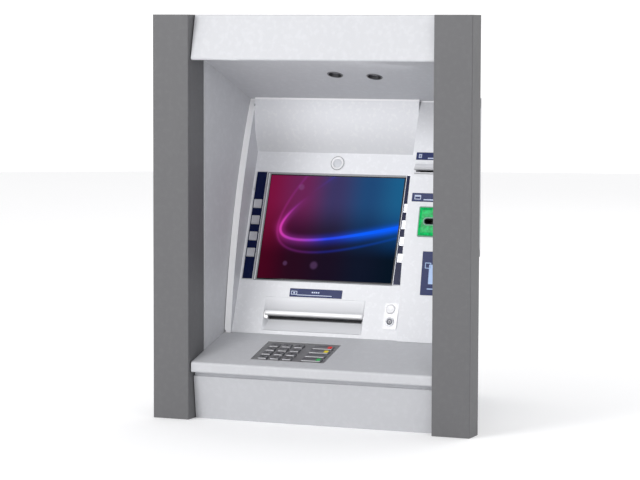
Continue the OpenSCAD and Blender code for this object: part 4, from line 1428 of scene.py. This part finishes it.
def make_cabinet_door_fittings():
    """Two banks of louvre hoods, a pressed border, and a ring round the latch."""
    place = facing_back(span("cabinet_door", PLAIN)[1].y - 5)
    mesh = bmesh.new()
    for left in (50, -80):
        xs = from_ends(left, left + 90, [1, 2, 5])
        for z in range(380, 500, 14):
            hood = [
                (0.2, z + 8), (-1.6, z + 7.2), (-2.6, z + 5.4), (-2.8, z + 3.6),
                (-2.2, z + 3.6), (-1.6, z + 5), (0.2, z + 5.4),
            ]
            beam(mesh, place, hood, xs, lambda x: 0.2 + 0.8 * smooth(min(x - left, left + 90 - x) / 5))
    border(mesh, place, (-170, 352, 215, 772), 7, 1)
    ring(mesh, place, -172, 560, 11.6, 15, 1.2, 1)
    fitting("cabinet_door_fittings", mesh, [CABINET, BRIGHT], "cabinet_door")


def fan_guard(mesh, place, x, z, radius):
    """Four rings in each other, with a screw at each corner."""
    for share in (1, 0.76, 0.52, 0.28):
        ring(mesh, place, x, z, radius * share - 1.6, radius * share, 1.6, 1)
    screw_circle(mesh, place, x, z, radius * 1.25, 4, 45, 2)


def make_electronics():
    """A computer with ports and a fan, beside a power supply with its own fan and inlet."""
    softened("control_electronics", ZINC, 0.5)
    back_y = span("control_electronics", PLAIN)[1].y
    back, supply = facing_back(back_y), facing_back(back_y - 3)
    mesh = bmesh.new()
    fan_guard(mesh, back, 175, 400, 32)
    fan_guard(mesh, supply, -75, 385, 30)
    for i, width in enumerate((16, 16, 22, 30, 12)):
        x, tall = 72 + 27 * i, 10 + 5 * (i % 2)
        port = [(0, 2.2), (0, -0.8), (0.6, -1.4), (2, -1.4), (2.4, 0.8)]
        pad(mesh, back, (x, 485, x + width, 485 + tall), 1, port, 2 + i % 2)
        pad(mesh, back, (x, 512, x + 10, 518), 1, [(0, 2.2), (0, 0.4), (0.4, 0)], 1)
    inlet = [(0, 0.3), (0, -1.5), (1, -2.2), (4, -2.2), (5, 1)]
    pad(mesh, supply, (-15, 350, 10, 372), 2, inlet, 3)
    pad(mesh, supply, (-12, 390, 6, 402), 1.5, [(0, 0.3), (0, -1), (1, -2)], 3)
    for z in range(345, 415, 10):
        pad(mesh, back, (60, z, 110, z + 4), 2, [(0, 0.3), (0, -0.3), (0.5, -0.5)], 3)
    materials = [ZINC, BRIGHT, SOFTKEY, BLACK]
    fitting("control_electronics_fittings", mesh, materials, "control_electronics")


for make in (
    make_camera, make_world, make_lights, make_floor,
    make_surround, make_kick_return, make_downlights,
    make_fascia, make_side_column, make_beads, make_screen, make_screen_surround,
    make_strips, make_softkeys, make_camera_window,
    make_scoop, make_slot_bar, make_mouth, make_labels, make_audio,
    make_receipt_lip, make_receipt_mouth, make_receipt_printer,
    make_card_trim, make_card_bezel, make_card_reader, make_keypad,
    make_safe, make_safe_door_fittings, make_cassette, make_dispenser,
    make_cabinet, make_cabinet_fittings, make_cabinet_door_fittings, make_electronics,
):
    make()
